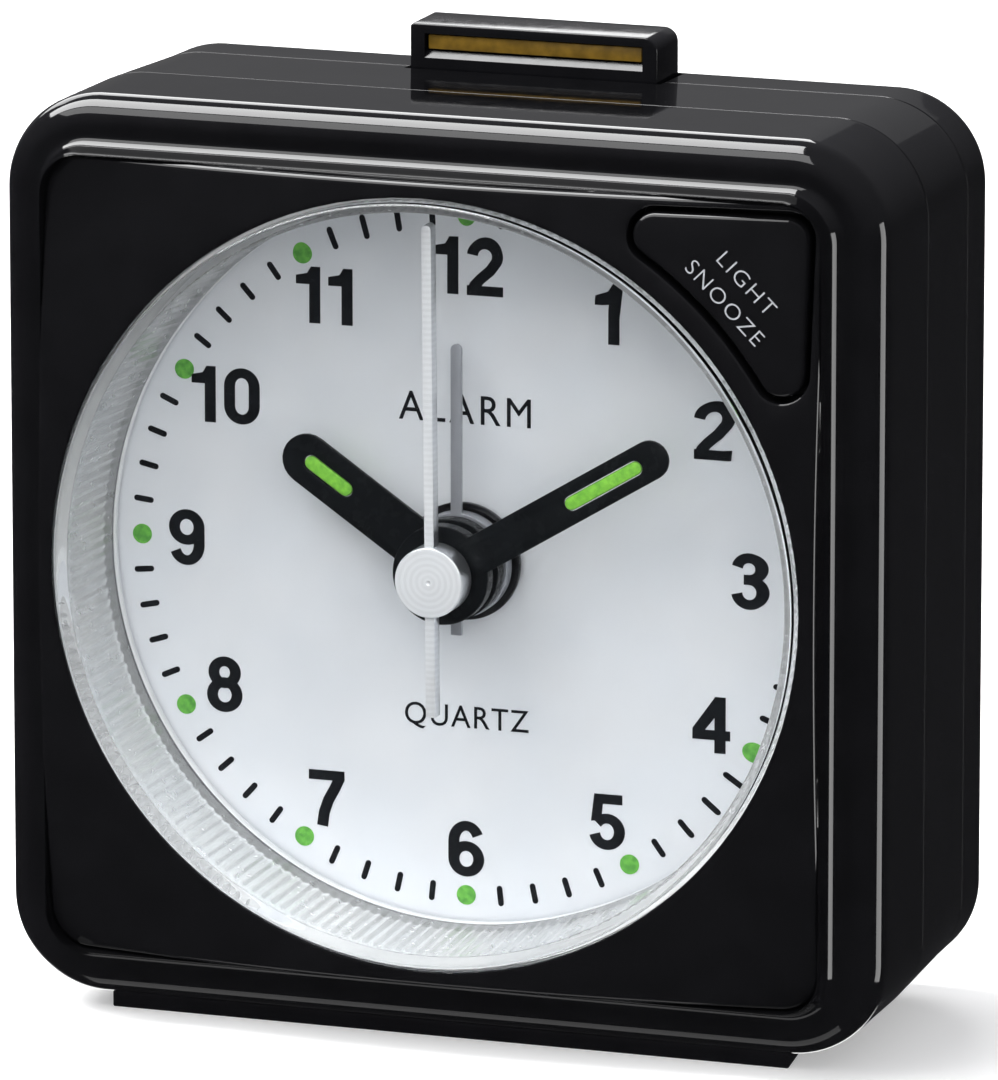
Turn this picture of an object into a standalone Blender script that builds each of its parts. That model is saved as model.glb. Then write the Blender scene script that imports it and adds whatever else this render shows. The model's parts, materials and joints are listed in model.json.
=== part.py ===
"""Travel alarm clock with a quartz movement, one AAA cell, a pop-up alarm button and a light/snooze button.

Every size is in millimetres and is scaled by MM when a mesh is made.  Each object has its origin on
its own axis, level with the dial's printed face.  Inside a mesh, x runs to the right, y is the depth
behind the dial's face (negative towards the viewer) and z is the height above that axis.
"""

from math import atan2, cos, hypot, pi, radians, sin

import bmesh
import bpy

MM = 0.001

# ---------------------------------------------------------------- driving dimensions
CASE_HALF = 28.5                 # half the width and half the height of the front case
CASE_CORNER = 6.1                # corner radius of the front case, seen from the front
FOOT_DROP = 1.1                  # how far the foot stands below the case
AXIS_Z = CASE_HALF + FOOT_DROP   # height of the hands' axis above the table

PANEL_HALF = 25.1                # raised front panel
PANEL_CORNER = 2.5
DOME_RADIUS = 150.0              # the panel is gently domed
SHOULDER_DEPTH = -5.8            # flat shoulder round the panel
SHOULDER_FILLET = 1.8
SEAM_ONE = 3.4                   # rear edge of the front case
SEAM_GAP = 0.3
SEAM_TWO = 12.6                  # rear edge of the middle case
REAR_FACE = 18.1
WALL = 1.6
REAR_INNER = REAR_FACE - WALL

KNOB_REAR = 20.6
KNOB_RADIUS = 4.7
KNOB_STEM = 1.15
CRYSTAL_FRONT = -9.3
DIAL_Y = -(CRYSTAL_FRONT + KNOB_REAR) / 2     # centres the object's depth on y = 0
CRYSTAL_RADIUS = 23.9
CRYSTAL_HOLE = 24.17
CRYSTAL_PLATE = 1.25
CRYSTAL_PROUD = 0.45             # how far the crystal stands out of the panel at its rim
PANEL_PEAK = CRYSTAL_FRONT + CRYSTAL_PROUD - CRYSTAL_RADIUS ** 2 / (2 * DOME_RADIUS)
DIAL_RADIUS = 24.6
DIAL_THICKNESS = 0.5

# Depths of the gear layers, from the dial towards the battery side.
FRONT_PLATE = (0.9, 1.9)
ALARM_LAYER = (2.3, 2.9)
HOUR_LAYER = (3.3, 3.9)
MOTION_LAYER = (4.3, 4.9)
MIDDLE_PLATE = (5.3, 5.9)
CENTRE_LAYER = (6.2, 6.8)
THIRD_LAYER = (7.1, 7.7)
SECOND_LAYER = (8.1, 8.7)
INTERMEDIATE_LAYER = (9.0, 9.6)
MAGNET_LAYER = (10.0, 11.6)
STATOR_LAYER = (10.4, 11.2)
REAR_PLATE = (12.0, 12.8)
BOARD_LAYER = (13.4, 14.2)
PINION_EXTRA = 0.1               # how far a pinion's leaves stand proud of the wheel they drive
PLATE_CLEARANCE = 0.3

# Tooth shape, as shares of the module or of the tooth pitch.
TOOTH_TIP = 0.8
TOOTH_ROOT = 1.3
TOOTH_TIP_WIDTH = 0.16
BACKLASH = 0.03                  # added to every centre distance

ARBOR_RADIUS = 0.4
PIVOT_HOLE = 0.52
CANNON_RADII = (0.55, 0.95)      # bore and outside of each tube in the stack
HOUR_RADII = (1.1, 1.5)
ALARM_RADII = (1.65, 2.05)
SHAFT_RADIUS = 0.6
SHAFT_REAR = REAR_FACE + 1.0       # the setting shafts end inside the knobs
SHAFT_HOLE = 0.75

SECOND_WHEEL, SECOND_PINION = 50, 8
THIRD_WHEEL, THIRD_PINION = 60, 8
CENTRE_WHEEL = 64
INTERMEDIATE_WHEEL, INTERMEDIATE_PINION = 48, 10
ROTOR_PINION = 8
CANNON_PINION = 12
MOTION_WHEEL, MOTION_PINION = 36, 10
HOUR_WHEEL = 40
ALARM_WHEEL, ALARM_SET_PINION = 36, 18

FINE_MODULE = 0.2
SECOND_MODULE = 0.24
MOTION_MODULE = 0.3
HOUR_MODULE = MOTION_MODULE * (CANNON_PINION + MOTION_WHEEL) / (MOTION_PINION + HOUR_WHEEL)
CENTRE_MODULE = FINE_MODULE * (SECOND_PINION + THIRD_WHEEL) / (THIRD_PINION + CENTRE_WHEEL)

SNOOZE_ARC = 25.4                # the button's long side is an arc about the hands' axis
SNOOZE_EDGE = 24.55
SNOOZE_CORNER = 1.7
SNOOZE_GROOVE = 0.35
SNOOZE_PLUNGER_AT = 19.6
SNOOZE_STOP = -6.1               # depth of the face behind the panel that the button's flange rests on

BUTTON_HALF = 8.1                # alarm button
BUTTON_DEPTHS = (12.0, 16.2)
BUTTON_TOP = 30.9
BUTTON_SLOT_GAP = 0.3

TOP_SCREW_AT = 23.0
SIDE_SCREW_AT = (22.6, -6.6)
SCREW_SHANK = 0.95
SCREW_HEAD = 1.75
POST_BORE = 1.15
POST_RADIUS = 2.2
POST_REAR = 9.7                  # where the front and middle cases' screw posts meet the rear cover's

CELL_RADIUS = 5.2
CELL_Z = -19.3
CELL_DEPTH = 10.2
CELL_ENDS = (-21.6, 22.5)
BAY_X = 24.3
BAY_Z = (-24.75, -13.75)
BAY_FLOOR = 4.0
BAY_WALL = 0.8
BAY_CORNER = 2.4
DOOR_OPENING_X = 22.9
DOOR_LEDGE = 0.9

HOUR_ANGLE = 304.0               # clockwise from 12, in degrees
MINUTE_ANGLE = 58.7
SECOND_ANGLE = 359.5
ALARM_ANGLE = 0.0


# ---------------------------------------------------------------- scene and materials
def clear_scene():
    for obj in list(bpy.data.objects):
        bpy.data.objects.remove(obj, do_unlink=True)


def look(name, colour, roughness, metallic=0.0, alpha=1.0):
    material = bpy.data.materials.new(name)
    material.use_nodes = True
    shader = material.node_tree.nodes["Principled BSDF"]
    shader.inputs["Base Color"].default_value = (*colour, 1.0)
    shader.inputs["Roughness"].default_value = roughness
    shader.inputs["Metallic"].default_value = metallic
    shader.inputs["Alpha"].default_value = alpha
    return material


# ---------------------------------------------------------------- mesh helpers
def place(name, bm, at):
    """Makes an object of a mesh in millimetres, with its origin at (x, z) from the hands' axis."""
    bm.normal_update()
    bmesh.ops.recalc_face_normals(bm, faces=bm.faces)
    bmesh.ops.scale(bm, vec=(MM, MM, MM), verts=bm.verts)
    mesh = bpy.data.meshes.new(name)
    bm.to_mesh(mesh)
    bm.free()
    obj = bpy.data.objects.new(name, mesh)
    obj.location = (at[0] * MM, DIAL_Y * MM, (AXIS_Z + at[1]) * MM)
    bpy.context.collection.objects.link(obj)
    return obj


def node(name, bm, material, at=(0.0, 0.0)):
    obj = place(name, bm, at)
    obj.data.materials.append(material)
    obj.data.shade_smooth()
    obj.data.set_sharp_from_angle(angle=radians(32))
    return obj


def combine(obj, bm, operation, at=(0.0, 0.0)):
    """Joins a helper shape to the object or cuts it away."""
    helper = place(obj.name + "_" + operation.lower(), bm, at)
    helper.hide_render = True
    helper.display_type = "WIRE"
    modifier = obj.modifiers.new(operation.title(), "BOOLEAN")
    modifier.operation = operation
    modifier.object = helper


def add(obj, bm, at=(0.0, 0.0)):
    combine(obj, bm, "UNION", at)


def cut(obj, bm, at=(0.0, 0.0)):
    combine(obj, bm, "DIFFERENCE", at)


def loft(rings, closed=False):
    """Joins rings of points with faces.  A ring of one point is a tip.  An open loft has its ends filled."""
    bm = bmesh.new()
    rows = [[bm.verts.new(point) for point in ring] for ring in rings]
    pairs = list(zip(rows, rows[1:]))
    if closed:
        pairs.append((rows[-1], rows[0]))
    for first, second in pairs:
        count = max(len(first), len(second))
        for i in range(count):
            j = (i + 1) % count
            near = [first[i % len(first)], first[j % len(first)]]
            far = [second[j % len(second)], second[i % len(second)]]
            bm.faces.new(list(dict.fromkeys(near + far)))
    if not closed:
        for row in (rows[0], rows[-1]):
            if len(row) > 1:
                bm.faces.new(row)
    return bm


def circle(radius, depth, segments, centre=(0.0, 0.0)):
    if radius == 0:
        return [(centre[0], depth, centre[1])]
    turns = [2 * pi * i / segments for i in range(segments)]
    return [(centre[0] + radius * cos(t), depth, centre[1] + radius * sin(t)) for t in turns]


def turned(profile, segments, centre=(0.0, 0.0)):
    """A body turned about the depth axis from (radius, depth) points, closed unless it starts on the axis."""
    rings = [circle(radius, depth, segments, centre) for radius, depth in profile]
    return loft(rings, closed=profile[0][0] > 0)


def turned_along_x(profile, segments, depth, height):
    """The same about an axis that runs along x: the profile is (radius, x)."""
    bm = turned(profile, segments)
    for vert in bm.verts:
        x, y, z = vert.co
        vert.co = (y, depth + x, height + z)
    return bm


def tube(inner, outer, start, end, segments):
    return turned([(inner, start), (inner, end), (outer, end), (outer, start)], segments)


def rod(radius, start, end, segments, centre=(0.0, 0.0)):
    return loft([circle(radius, start, segments, centre), circle(radius, end, segments, centre)])


def box(x, y, z):
    outline = [(x[0], z[0]), (x[1], z[0]), (x[1], z[1]), (x[0], z[1])]
    return prism(outline, y[0], y[1])


def prism(outline, start, end, holes=()):
    """An outline of (x, z) points made solid between two depths, with holes right through it."""
    bm = bmesh.new()
    edges = []
    for loop in (outline, *holes):
        verts = [bm.verts.new((x, start, z)) for x, z in loop]
        edges += [bm.edges.new((a, b)) for a, b in zip(verts, verts[1:] + verts[:1])]
    if holes:
        bmesh.ops.triangle_fill(bm, use_beauty=True, edges=edges)
    else:
        bm.faces.new(verts)
    grown = bmesh.ops.extrude_face_region(bm, geom=bm.faces[:])
    moved = [item for item in grown["geom"] if isinstance(item, bmesh.types.BMVert)]
    bmesh.ops.translate(bm, vec=(0, end - start, 0), verts=moved)
    return bm


def round_hole(radius, at, segments=16):
    return [(x, z) for x, _, z in circle(radius, 0, segments, at)]


def along_z(bm):
    """Turns a shape made along the depth so that its depth becomes its height."""
    for vert in bm.verts:
        x, y, z = vert.co
        vert.co = (x, z, y)
    return bm


def rounded_square(half, corner, arc_steps, side_steps):
    """(x, z) points round a square with rounded corners, from the middle of its right side."""
    flat = half - corner
    points = []
    for quarter in range(4):
        turn = quarter * pi / 2
        side = [(half, -flat + 2 * flat * i / side_steps) for i in range(1, side_steps)]
        arc = [
            (flat + corner * cos(pi / 2 * i / arc_steps), flat + corner * sin(pi / 2 * i / arc_steps))
            for i in range(arc_steps + 1)
        ]
        points += [(x * cos(turn) - z * sin(turn), x * sin(turn) + z * cos(turn)) for x, z in side + arc]
    return points


def rounded_box(x, z, corner, steps=3):
    """(x, z) points of a rectangle with rounded corners."""
    points = []
    for quarter, (cx, cz) in enumerate(
        [(x[1] - corner, z[1] - corner), (x[0] + corner, z[1] - corner),
         (x[0] + corner, z[0] + corner), (x[1] - corner, z[0] + corner)]
    ):
        for i in range(steps + 1):
            turn = pi / 2 * (quarter + i / steps)
            points.append((cx + corner * cos(turn), cz + corner * sin(turn)))
    return points


def dome_depth(x, z):
    """Depth of the front panel's gently domed face."""
    return PANEL_PEAK + (x * x + z * z) / (2 * DOME_RADIUS)


# ---------------------------------------------------------------- front case
SIDE_STEPS = 8
ARC_STEPS = 4


def case_ring(half, corner, depth):
    return [(x, depth, z) for x, z in rounded_square(half, corner, ARC_STEPS, SIDE_STEPS)]


def panel_ring(half, corner, drop):
    """A ring of the panel, which follows the dome at a constant drop below it."""
    return [
        (x, dome_depth(x, z) + drop, z) for x, z in rounded_square(half, corner, ARC_STEPS, SIDE_STEPS)
    ]


def radial_ring(radius, depth=None):
    """A circle with its points in line with the panel's, on the dome unless a depth is given."""
    ring = []
    for x, z in rounded_square(PANEL_HALF, PANEL_CORNER, ARC_STEPS, SIDE_STEPS):
        scale = radius / hypot(x, z)
        at = (x * scale, z * scale)
        ring.append((at[0], dome_depth(*at) if depth is None else depth, at[1]))
    return ring


def corner_outline(arc_radius, edge, corner):
    """The rounded triangle between an arc about the hands' axis and two straight edges, upper right."""
    z = edge - corner
    x = ((arc_radius + corner) ** 2 - z * z) ** 0.5
    meet = atan2(z, x)
    steps = 4
    upper_left = [
        (x + corner * cos(t), z + corner * sin(t))
        for t in (pi / 2 + (meet + pi - pi / 2) * i / steps for i in range(steps + 1))
    ]
    arc = [
        (arc_radius * cos(t), arc_radius * sin(t))
        for t in (meet + (pi / 2 - 2 * meet) * i / 8 for i in range(1, 8))
    ]
    lower_right = [(b, a) for a, b in reversed(upper_left)]
    outer = [
        (edge - corner + corner * cos(t), edge - corner + corner * sin(t))
        for t in (pi / 2 * i / 3 for i in range(4))
    ]
    return upper_left + arc + lower_right + outer


def quarter_turned(outline, quarters):
    turn = quarters * pi / 2
    return [(x * cos(turn) - z * sin(turn), x * sin(turn) + z * cos(turn)) for x, z in outline]


def make_front_case(material):
    fillet_steps = 3
    shoulder_start = SHOULDER_DEPTH + SHOULDER_FILLET
    fillet = [
        case_ring(
            CASE_HALF - SHOULDER_FILLET * (1 - cos(turn)),
            CASE_CORNER - SHOULDER_FILLET * (1 - cos(turn)),
            shoulder_start - SHOULDER_FILLET * sin(turn),
        )
        for turn in (pi / 2 * i / fillet_steps for i in range(fillet_steps + 1))
    ]
    tube_rear = -1.9
    tube_outer = 25.7
    inner_half = CASE_HALF - WALL
    rings = [
        case_ring(CASE_HALF - 0.1, CASE_CORNER - 0.1, SEAM_ONE),
        *fillet,
        case_ring(PANEL_HALF + 0.9, PANEL_CORNER + 0.9, SHOULDER_DEPTH),
        case_ring(PANEL_HALF + 0.4, PANEL_CORNER + 0.4, SHOULDER_DEPTH - 0.7),
        panel_ring(PANEL_HALF + 0.15, PANEL_CORNER + 0.15, 0.4),
        panel_ring(PANEL_HALF - 0.2, PANEL_CORNER - 0.2, 0.0),
        radial_ring(CRYSTAL_HOLE),
        radial_ring(CRYSTAL_HOLE, tube_rear),
        radial_ring(tube_outer, tube_rear),
        radial_ring(tube_outer, SHOULDER_DEPTH + WALL),
        case_ring(inner_half, CASE_CORNER - WALL, SHOULDER_DEPTH + WALL),
        case_ring(inner_half - 0.1, CASE_CORNER - WALL - 0.1, SEAM_ONE),
    ]
    case = node("front_case", loft(rings, closed=True), material)

    pocket_front = SNOOZE_STOP
    pocket = corner_outline(SNOOZE_ARC - 0.1, SNOOZE_EDGE + 0.35, SNOOZE_CORNER)
    for quarters in range(4):
        cut(case, prism(quarter_turned(pocket, quarters), pocket_front, SHOULDER_DEPTH + WALL + 0.5))
    opening = corner_outline(SNOOZE_ARC + 0.1, SNOOZE_EDGE, SNOOZE_CORNER)
    cut(case, prism(opening, CRYSTAL_FRONT - 2, pocket_front + 0.5))
    behind_button = SHOULDER_DEPTH + WALL + 0.8
    for side, post_front in ((-1, pocket_front - 0.4), (1, behind_button)):
        post = tube(POST_BORE, POST_RADIUS, post_front, POST_REAR, 12)
        add(case, post, (side * TOP_SCREW_AT, TOP_SCREW_AT))
    rib_x = (TOP_SCREW_AT + 1.7, CASE_HALF - 1.0)
    add(case, box(rib_x, (behind_button, SEAM_ONE - 1.5), (TOP_SCREW_AT - 1, TOP_SCREW_AT)))


# ---------------------------------------------------------------- middle case, rear cover and foot
def plain_ring(half, corner, depth):
    """A case section with few points, for the parts without a dome."""
    return [(x, depth, z) for x, z in rounded_square(half, corner, 5, 1)]


def taper_half(depth):
    """Half-size of the outside behind the first seam."""
    share = (depth - SEAM_ONE) / (REAR_FACE - SEAM_ONE)
    return CASE_HALF - 0.1 - 0.55 * share


def button_slot(depths):
    """Cutter for the alarm button's slot in the top wall."""
    half = BUTTON_HALF + BUTTON_SLOT_GAP
    return box((-half, half), depths, (CASE_HALF - 4.0, CASE_HALF + 2.0))


def make_middle_case(material):
    front = SEAM_ONE + SEAM_GAP
    lip_front = SEAM_ONE - 1.2
    lip_outer = CASE_HALF - WALL - 0.4
    lip_inner = lip_outer - 0.7
    rings = [
        plain_ring(taper_half(front), 6.0, front),
        plain_ring(taper_half(SEAM_TWO), 5.9, SEAM_TWO),
        plain_ring(taper_half(SEAM_TWO) - WALL + 0.2, 4.6, SEAM_TWO),
        plain_ring(lip_inner + 0.2, 4.2, front + 1.2),
        plain_ring(lip_inner, 4.0, lip_front),
        plain_ring(lip_outer, 4.5, lip_front),
        plain_ring(lip_outer, 4.5, front),
    ]
    case = node("middle_case", loft(rings, closed=True), material)
    x, z = SIDE_SCREW_AT
    for side in (-1, 1):
        web = box(sorted((side * (x + 1.4), side * (x + 4.6))), (5.0, 9.0), (z - 1, z + 1))
        add(case, web)
        add(case, tube(POST_BORE, POST_RADIUS - 0.1, 4.8, POST_REAR, 12), (side * x, z))
    slot_front = BUTTON_DEPTHS[0] - BUTTON_SLOT_GAP
    cut(case, button_slot((slot_front, SEAM_TWO + 1.0)))


def make_rear_cover(material):
    front = SEAM_TWO + SEAM_GAP
    fillet = 1.6
    rear_half = taper_half(REAR_FACE)
    inner_half = rear_half - WALL
    rings = [
        plain_ring(taper_half(front), 5.9, front),
        plain_ring(taper_half(REAR_FACE - fillet), 5.7, REAR_FACE - fillet),
        plain_ring(rear_half - 0.47, 5.2, REAR_FACE - 0.47),
        plain_ring(rear_half - fillet, 4.1, REAR_FACE),
    ]
    cover = node("rear_cover", loft(rings), material)
    hollow = [
        plain_ring(inner_half + 0.1, 4.4, front - 1.0),
        plain_ring(inner_half, 4.3, REAR_INNER),
    ]
    cut(cover, loft(hollow))

    bay_outer = BAY_X + BAY_WALL
    bay_z = (BAY_Z[0] - 0.5, BAY_Z[1] + BAY_WALL)
    bay_outline = rounded_box((-bay_outer, bay_outer), bay_z, BAY_CORNER + BAY_WALL)
    add(cover, prism(bay_outline, BAY_FLOOR - BAY_WALL, REAR_INNER + 0.6))
    cut(cover, prism(rounded_box((-BAY_X, BAY_X), BAY_Z, BAY_CORNER), BAY_FLOOR, REAR_INNER - 0.2))
    cut(cover, box((-DOOR_OPENING_X, DOOR_OPENING_X), (REAR_INNER - 1.0, REAR_FACE + 1), BAY_Z))
    ledge_x = DOOR_OPENING_X + DOOR_LEDGE
    ledge_z = (BAY_Z[0] - 0.6, BAY_Z[1] + DOOR_LEDGE)
    cut(cover, prism(rounded_box((-ledge_x, ledge_x), ledge_z, 1.2), REAR_FACE - 1.0, REAR_FACE + 1))
    for side in (-1, 1):
        slot = sorted((side * 22.5, side * 23.7))
        cut(cover, box(slot, (6.6, 9.4), (BAY_Z[1] - 1.0, BAY_Z[1] + BAY_WALL + 0.5)))

    places = [(-TOP_SCREW_AT, TOP_SCREW_AT), (TOP_SCREW_AT, TOP_SCREW_AT)]
    places += [(-SIDE_SCREW_AT[0], SIDE_SCREW_AT[1]), (SIDE_SCREW_AT[0], SIDE_SCREW_AT[1])]
    for at in places:
        add(cover, rod(POST_RADIUS, POST_REAR + 0.4, REAR_INNER + 0.6, 12), at)
        cut(cover, rod(POST_BORE, POST_REAR - 1, REAR_FACE + 1, 12), at)
        cut(cover, rod(SCREW_HEAD + 0.3, REAR_FACE - 1.1, REAR_FACE + 1, 16), at)
    for at in (MOTION_AT, ALARM_SET_AT):
        cut(cover, rod(KNOB_STEM + 0.2, REAR_INNER - 1, REAR_FACE + 1, 16), at)
    sound_holes = [BUZZER_AT] + [polar(2.6, 60 * i, BUZZER_AT) for i in range(6)]
    for at in sound_holes:
        cut(cover, rod(0.55, REAR_INNER - 1, REAR_FACE + 1, 8), at)
    cut(cover, button_slot((front - 1.0, BUTTON_DEPTHS[1] + BUTTON_SLOT_GAP)))


def make_battery_door(material):
    """A snap-in lid: a plate flush with the back, and a plug that fits the opening."""
    plate_x = DOOR_OPENING_X + DOOR_LEDGE - 0.3
    plate_z = (BAY_Z[0] - 0.3, BAY_Z[1] + DOOR_LEDGE - 0.3)
    door = node(
        "battery_door",
        prism(rounded_box((-plate_x, plate_x), plate_z, 1.0), REAR_FACE - 0.7, REAR_FACE),
        material,
    )
    plug_x = DOOR_OPENING_X - 0.3
    add(door, box((-plug_x, plug_x), (REAR_INNER - 0.2, REAR_FACE - 0.5), (BAY_Z[0] + 0.3, BAY_Z[1] - 0.3)))
    cut(door, box((-1.5, 1.5), (REAR_FACE - 0.35, REAR_FACE + 1), (BAY_Z[1] - 1.2, BAY_Z[1] - 0.4)))


def make_foot(material):
    """A wedge-topped slab: its upper face follows the case's taper and its lower face is flat."""
    ends = ((-4.0, 22.2), (16.2, 19.6))
    rings = []
    for depth, half in ends:
        top = -(CASE_HALF if depth < SEAM_ONE else taper_half(depth)) - SEAM_GAP
        corners = [(-half, -AXIS_Z), (half, -AXIS_Z), (half, top), (-half, top)]
        rings.append([(x, depth, z) for x, z in corners])
    node("foot", loft(rings), material)


# ---------------------------------------------------------------- crystal and dial
def make_crystal(material):
    """A clear cap: a flat plate with a bevelled edge, a skirt that narrows inwards and a rear flange."""
    plate_rear = CRYSTAL_FRONT + CRYSTAL_PLATE
    profile = [
        (0.0, CRYSTAL_FRONT),
        (CRYSTAL_RADIUS - 0.25, CRYSTAL_FRONT),
        (CRYSTAL_RADIUS, CRYSTAL_FRONT + 0.25),
        (CRYSTAL_RADIUS - 0.1, -1.55),
        (25.3, -1.55),
        (25.3, -1.0),
        (22.95, -1.0),
        (23.25, plate_rear),
        (0.0, plate_rear),
    ]
    node("crystal", turned(profile, 44), material)


def make_dial(material):
    hub_hole = round_hole(3.1, (0, 0), 24)
    node("dial", prism(round_hole(DIAL_RADIUS, (0, 0), 48), 0, DIAL_THICKNESS, [hub_hole]), material)


def make_dial_ring(material):
    node("dial_ring", tube(22.9, 25.3, -0.7, -0.3, 40), material)


def make_dial_bush(material):
    """Black bush that lines the dial's centre hole."""
    profile = [(2.3, -0.6), (2.3, 0.6), (2.8, 0.6), (2.8, -0.3), (3.7, -0.3), (3.7, -0.6)]
    node("dial_bush", turned(profile, 24), material)


# ---------------------------------------------------------------- hands
def clockwise(outline, degrees):
    """Turns (x, z) points clockwise, as seen from the front."""
    turn = radians(degrees)
    return [(x * cos(turn) + z * sin(turn), z * cos(turn) - x * sin(turn)) for x, z in outline]


def bar(width, start, end, steps=4):
    """Outline of a straight bar along the 12 o'clock direction with a round far end."""
    half = width / 2
    tip = [
        (half * cos(t), end - half + half * sin(t))
        for t in (pi * i / (2 * steps) for i in range(2 * steps + 1))
    ]
    return [(half, start)] + tip + [(-half, start)]


def lume_outline(width, length, middle, grow=0.0):
    """A lume bar's outline, with round ends, centred on a radius of the hand."""
    half = width / 2 + grow
    flat = length / 2 - width / 2
    ends = []
    for end in (1, -1):
        for i in range(5):
            turn = pi * i / 4 + (0 if end > 0 else pi)
            ends.append((half * cos(turn), middle + end * flat + half * sin(turn)))
    return ends


def make_lumed_hand(name, angle, width, length, hub, plate, lume, materials):
    """A black hand with a round hub, a bore for its tube and a slot that holds a strip of lume."""
    black, glow = materials
    front, thickness = plate
    outline = clockwise(bar(width, -0.5, length), angle)
    slot = clockwise(lume_outline(*lume, grow=0.12), angle)
    hand = node(name, prism(outline, front, front + thickness, [slot]), black)
    bore, hub_radius, hub_depth = hub
    add(hand, rod(hub_radius, front + 0.02, front + hub_depth, 24))
    cut(hand, rod(bore, front - 1, front + hub_depth + 1, 16))
    strip = prism(clockwise(lume_outline(*lume), angle), front + 0.06, front + thickness - 0.02)
    node(name + "_lume", strip, glow)


def make_alarm_hand(material):
    front = -1.9
    outline = clockwise(bar(0.7, -4.4, 13.9), ALARM_ANGLE)
    hand = node("alarm_hand", prism(outline, front, front + 0.3), material)
    add(hand, rod(3.3, front + 0.02, -0.9, 24))
    cut(hand, rod(ALARM_RADII[1] + 0.08, front - 1, 0, 16))


def make_second_hand(material):
    needle = clockwise(bar(0.63, -8.5, 22.2), SECOND_ANGLE)
    hand = node("second_hand", prism(needle, -6.75, -5.85), material)
    add(hand, turned([(0, -6.95), (2.05, -6.95), (2.2, -6.8), (2.2, -5.25), (0, -5.25)], 24))
    cut(hand, rod(ARBOR_RADIUS + 0.07, -6.3, -4.0, 12))


# ---------------------------------------------------------------- gears
def gear_outline(teeth, module, phase):
    """(x, z) points of a gear with one tooth centred on the direction `phase`."""
    pitch = 2 * pi / teeth
    tip = module * (teeth / 2 + TOOTH_TIP)
    root = module * (teeth / 2 - TOOTH_ROOT)
    corners = ((tip, -TOOTH_TIP_WIDTH / 2), (tip, TOOTH_TIP_WIDTH / 2), (root, 0.5))
    return [
        (radius * cos(phase + (k + share) * pitch), radius * sin(phase + (k + share) * pitch))
        for k in range(teeth)
        for radius, share in corners
    ]


def gap_phase(teeth, direction):
    """The phase that puts a gap, not a tooth, in that direction."""
    return direction + pi / teeth


def pinion_of(layer):
    return layer[0] - PINION_EXTRA, layer[1] + PINION_EXTRA


def polar(distance, degrees, origin=(0.0, 0.0)):
    return (
        origin[0] + distance * cos(radians(degrees)),
        origin[1] + distance * sin(radians(degrees)),
    )


THIRD_DIRECTION = 235.0
INTERMEDIATE_DIRECTION = 90.0
ROTOR_DIRECTION = 90.0
MOTION_DIRECTION = 150.0
ALARM_SET_DIRECTION = 30.0

THIRD_AT = polar(FINE_MODULE * (SECOND_PINION + THIRD_WHEEL) / 2 + BACKLASH, THIRD_DIRECTION)
INTERMEDIATE_AT = polar(
    SECOND_MODULE * (SECOND_WHEEL + INTERMEDIATE_PINION) / 2 + BACKLASH, INTERMEDIATE_DIRECTION
)
ROTOR_AT = polar(
    FINE_MODULE * (ROTOR_PINION + INTERMEDIATE_WHEEL) / 2 + BACKLASH, ROTOR_DIRECTION, INTERMEDIATE_AT
)
MOTION_AT = polar(MOTION_MODULE * (CANNON_PINION + MOTION_WHEEL) / 2 + BACKLASH, MOTION_DIRECTION)
ALARM_SET_AT = polar(
    MOTION_MODULE * (ALARM_WHEEL + ALARM_SET_PINION) / 2 + BACKLASH, ALARM_SET_DIRECTION
)
BUZZER_AT = (0.0, -5.4)


def toothed(teeth, module, layer, phase, bore=0.0):
    holes = [round_hole(bore, (0, 0))] if bore else []
    return prism(gear_outline(teeth, module, phase), *layer, holes)


def make_second_wheel(material):
    """Wheel, pinion and the long arbor that carries the second hand."""
    up = radians(INTERMEDIATE_DIRECTION)
    wheel = node("second_wheel", rod(ARBOR_RADIUS, -6.0, REAR_PLATE[1] - 0.2, 12), material)
    add(wheel, toothed(SECOND_WHEEL, SECOND_MODULE, SECOND_LAYER, up))
    pinion = (THIRD_LAYER[0] - PINION_EXTRA, SECOND_LAYER[0] + 0.1)
    add(wheel, toothed(SECOND_PINION, FINE_MODULE, pinion, radians(THIRD_DIRECTION)))


def make_third_wheel(material):
    back = radians(THIRD_DIRECTION + 180)
    wheel = node(
        "third_wheel",
        rod(ARBOR_RADIUS, MIDDLE_PLATE[0] + 0.1, REAR_PLATE[1] - 0.2, 12),
        material,
        THIRD_AT,
    )
    add(wheel, toothed(THIRD_WHEEL, FINE_MODULE, THIRD_LAYER, gap_phase(THIRD_WHEEL, back)), THIRD_AT)
    pinion = (CENTRE_LAYER[0] - PINION_EXTRA, THIRD_LAYER[0] + 0.1)
    add(wheel, toothed(THIRD_PINION, CENTRE_MODULE, pinion, back), THIRD_AT)


def make_centre_wheel(material):
    phase = gap_phase(CENTRE_WHEEL, radians(THIRD_DIRECTION))
    node(
        "centre_wheel",
        toothed(CENTRE_WHEEL, CENTRE_MODULE, CENTRE_LAYER, phase, CANNON_RADII[1] + 0.13),
        material,
    )


def make_intermediate_wheel(material):
    down = radians(INTERMEDIATE_DIRECTION + 180)
    up = radians(ROTOR_DIRECTION)
    wheel = node(
        "intermediate_wheel",
        rod(ARBOR_RADIUS, MIDDLE_PLATE[0] + 0.1, REAR_PLATE[1] - 0.2, 12),
        material,
        INTERMEDIATE_AT,
    )
    teeth = toothed(INTERMEDIATE_WHEEL, FINE_MODULE, INTERMEDIATE_LAYER, gap_phase(INTERMEDIATE_WHEEL, up))
    add(wheel, teeth, INTERMEDIATE_AT)
    pinion = (SECOND_LAYER[0] - PINION_EXTRA, INTERMEDIATE_LAYER[0] + 0.1)
    phase = gap_phase(INTERMEDIATE_PINION, down)
    add(wheel, toothed(INTERMEDIATE_PINION, SECOND_MODULE, pinion, phase), INTERMEDIATE_AT)


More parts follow.
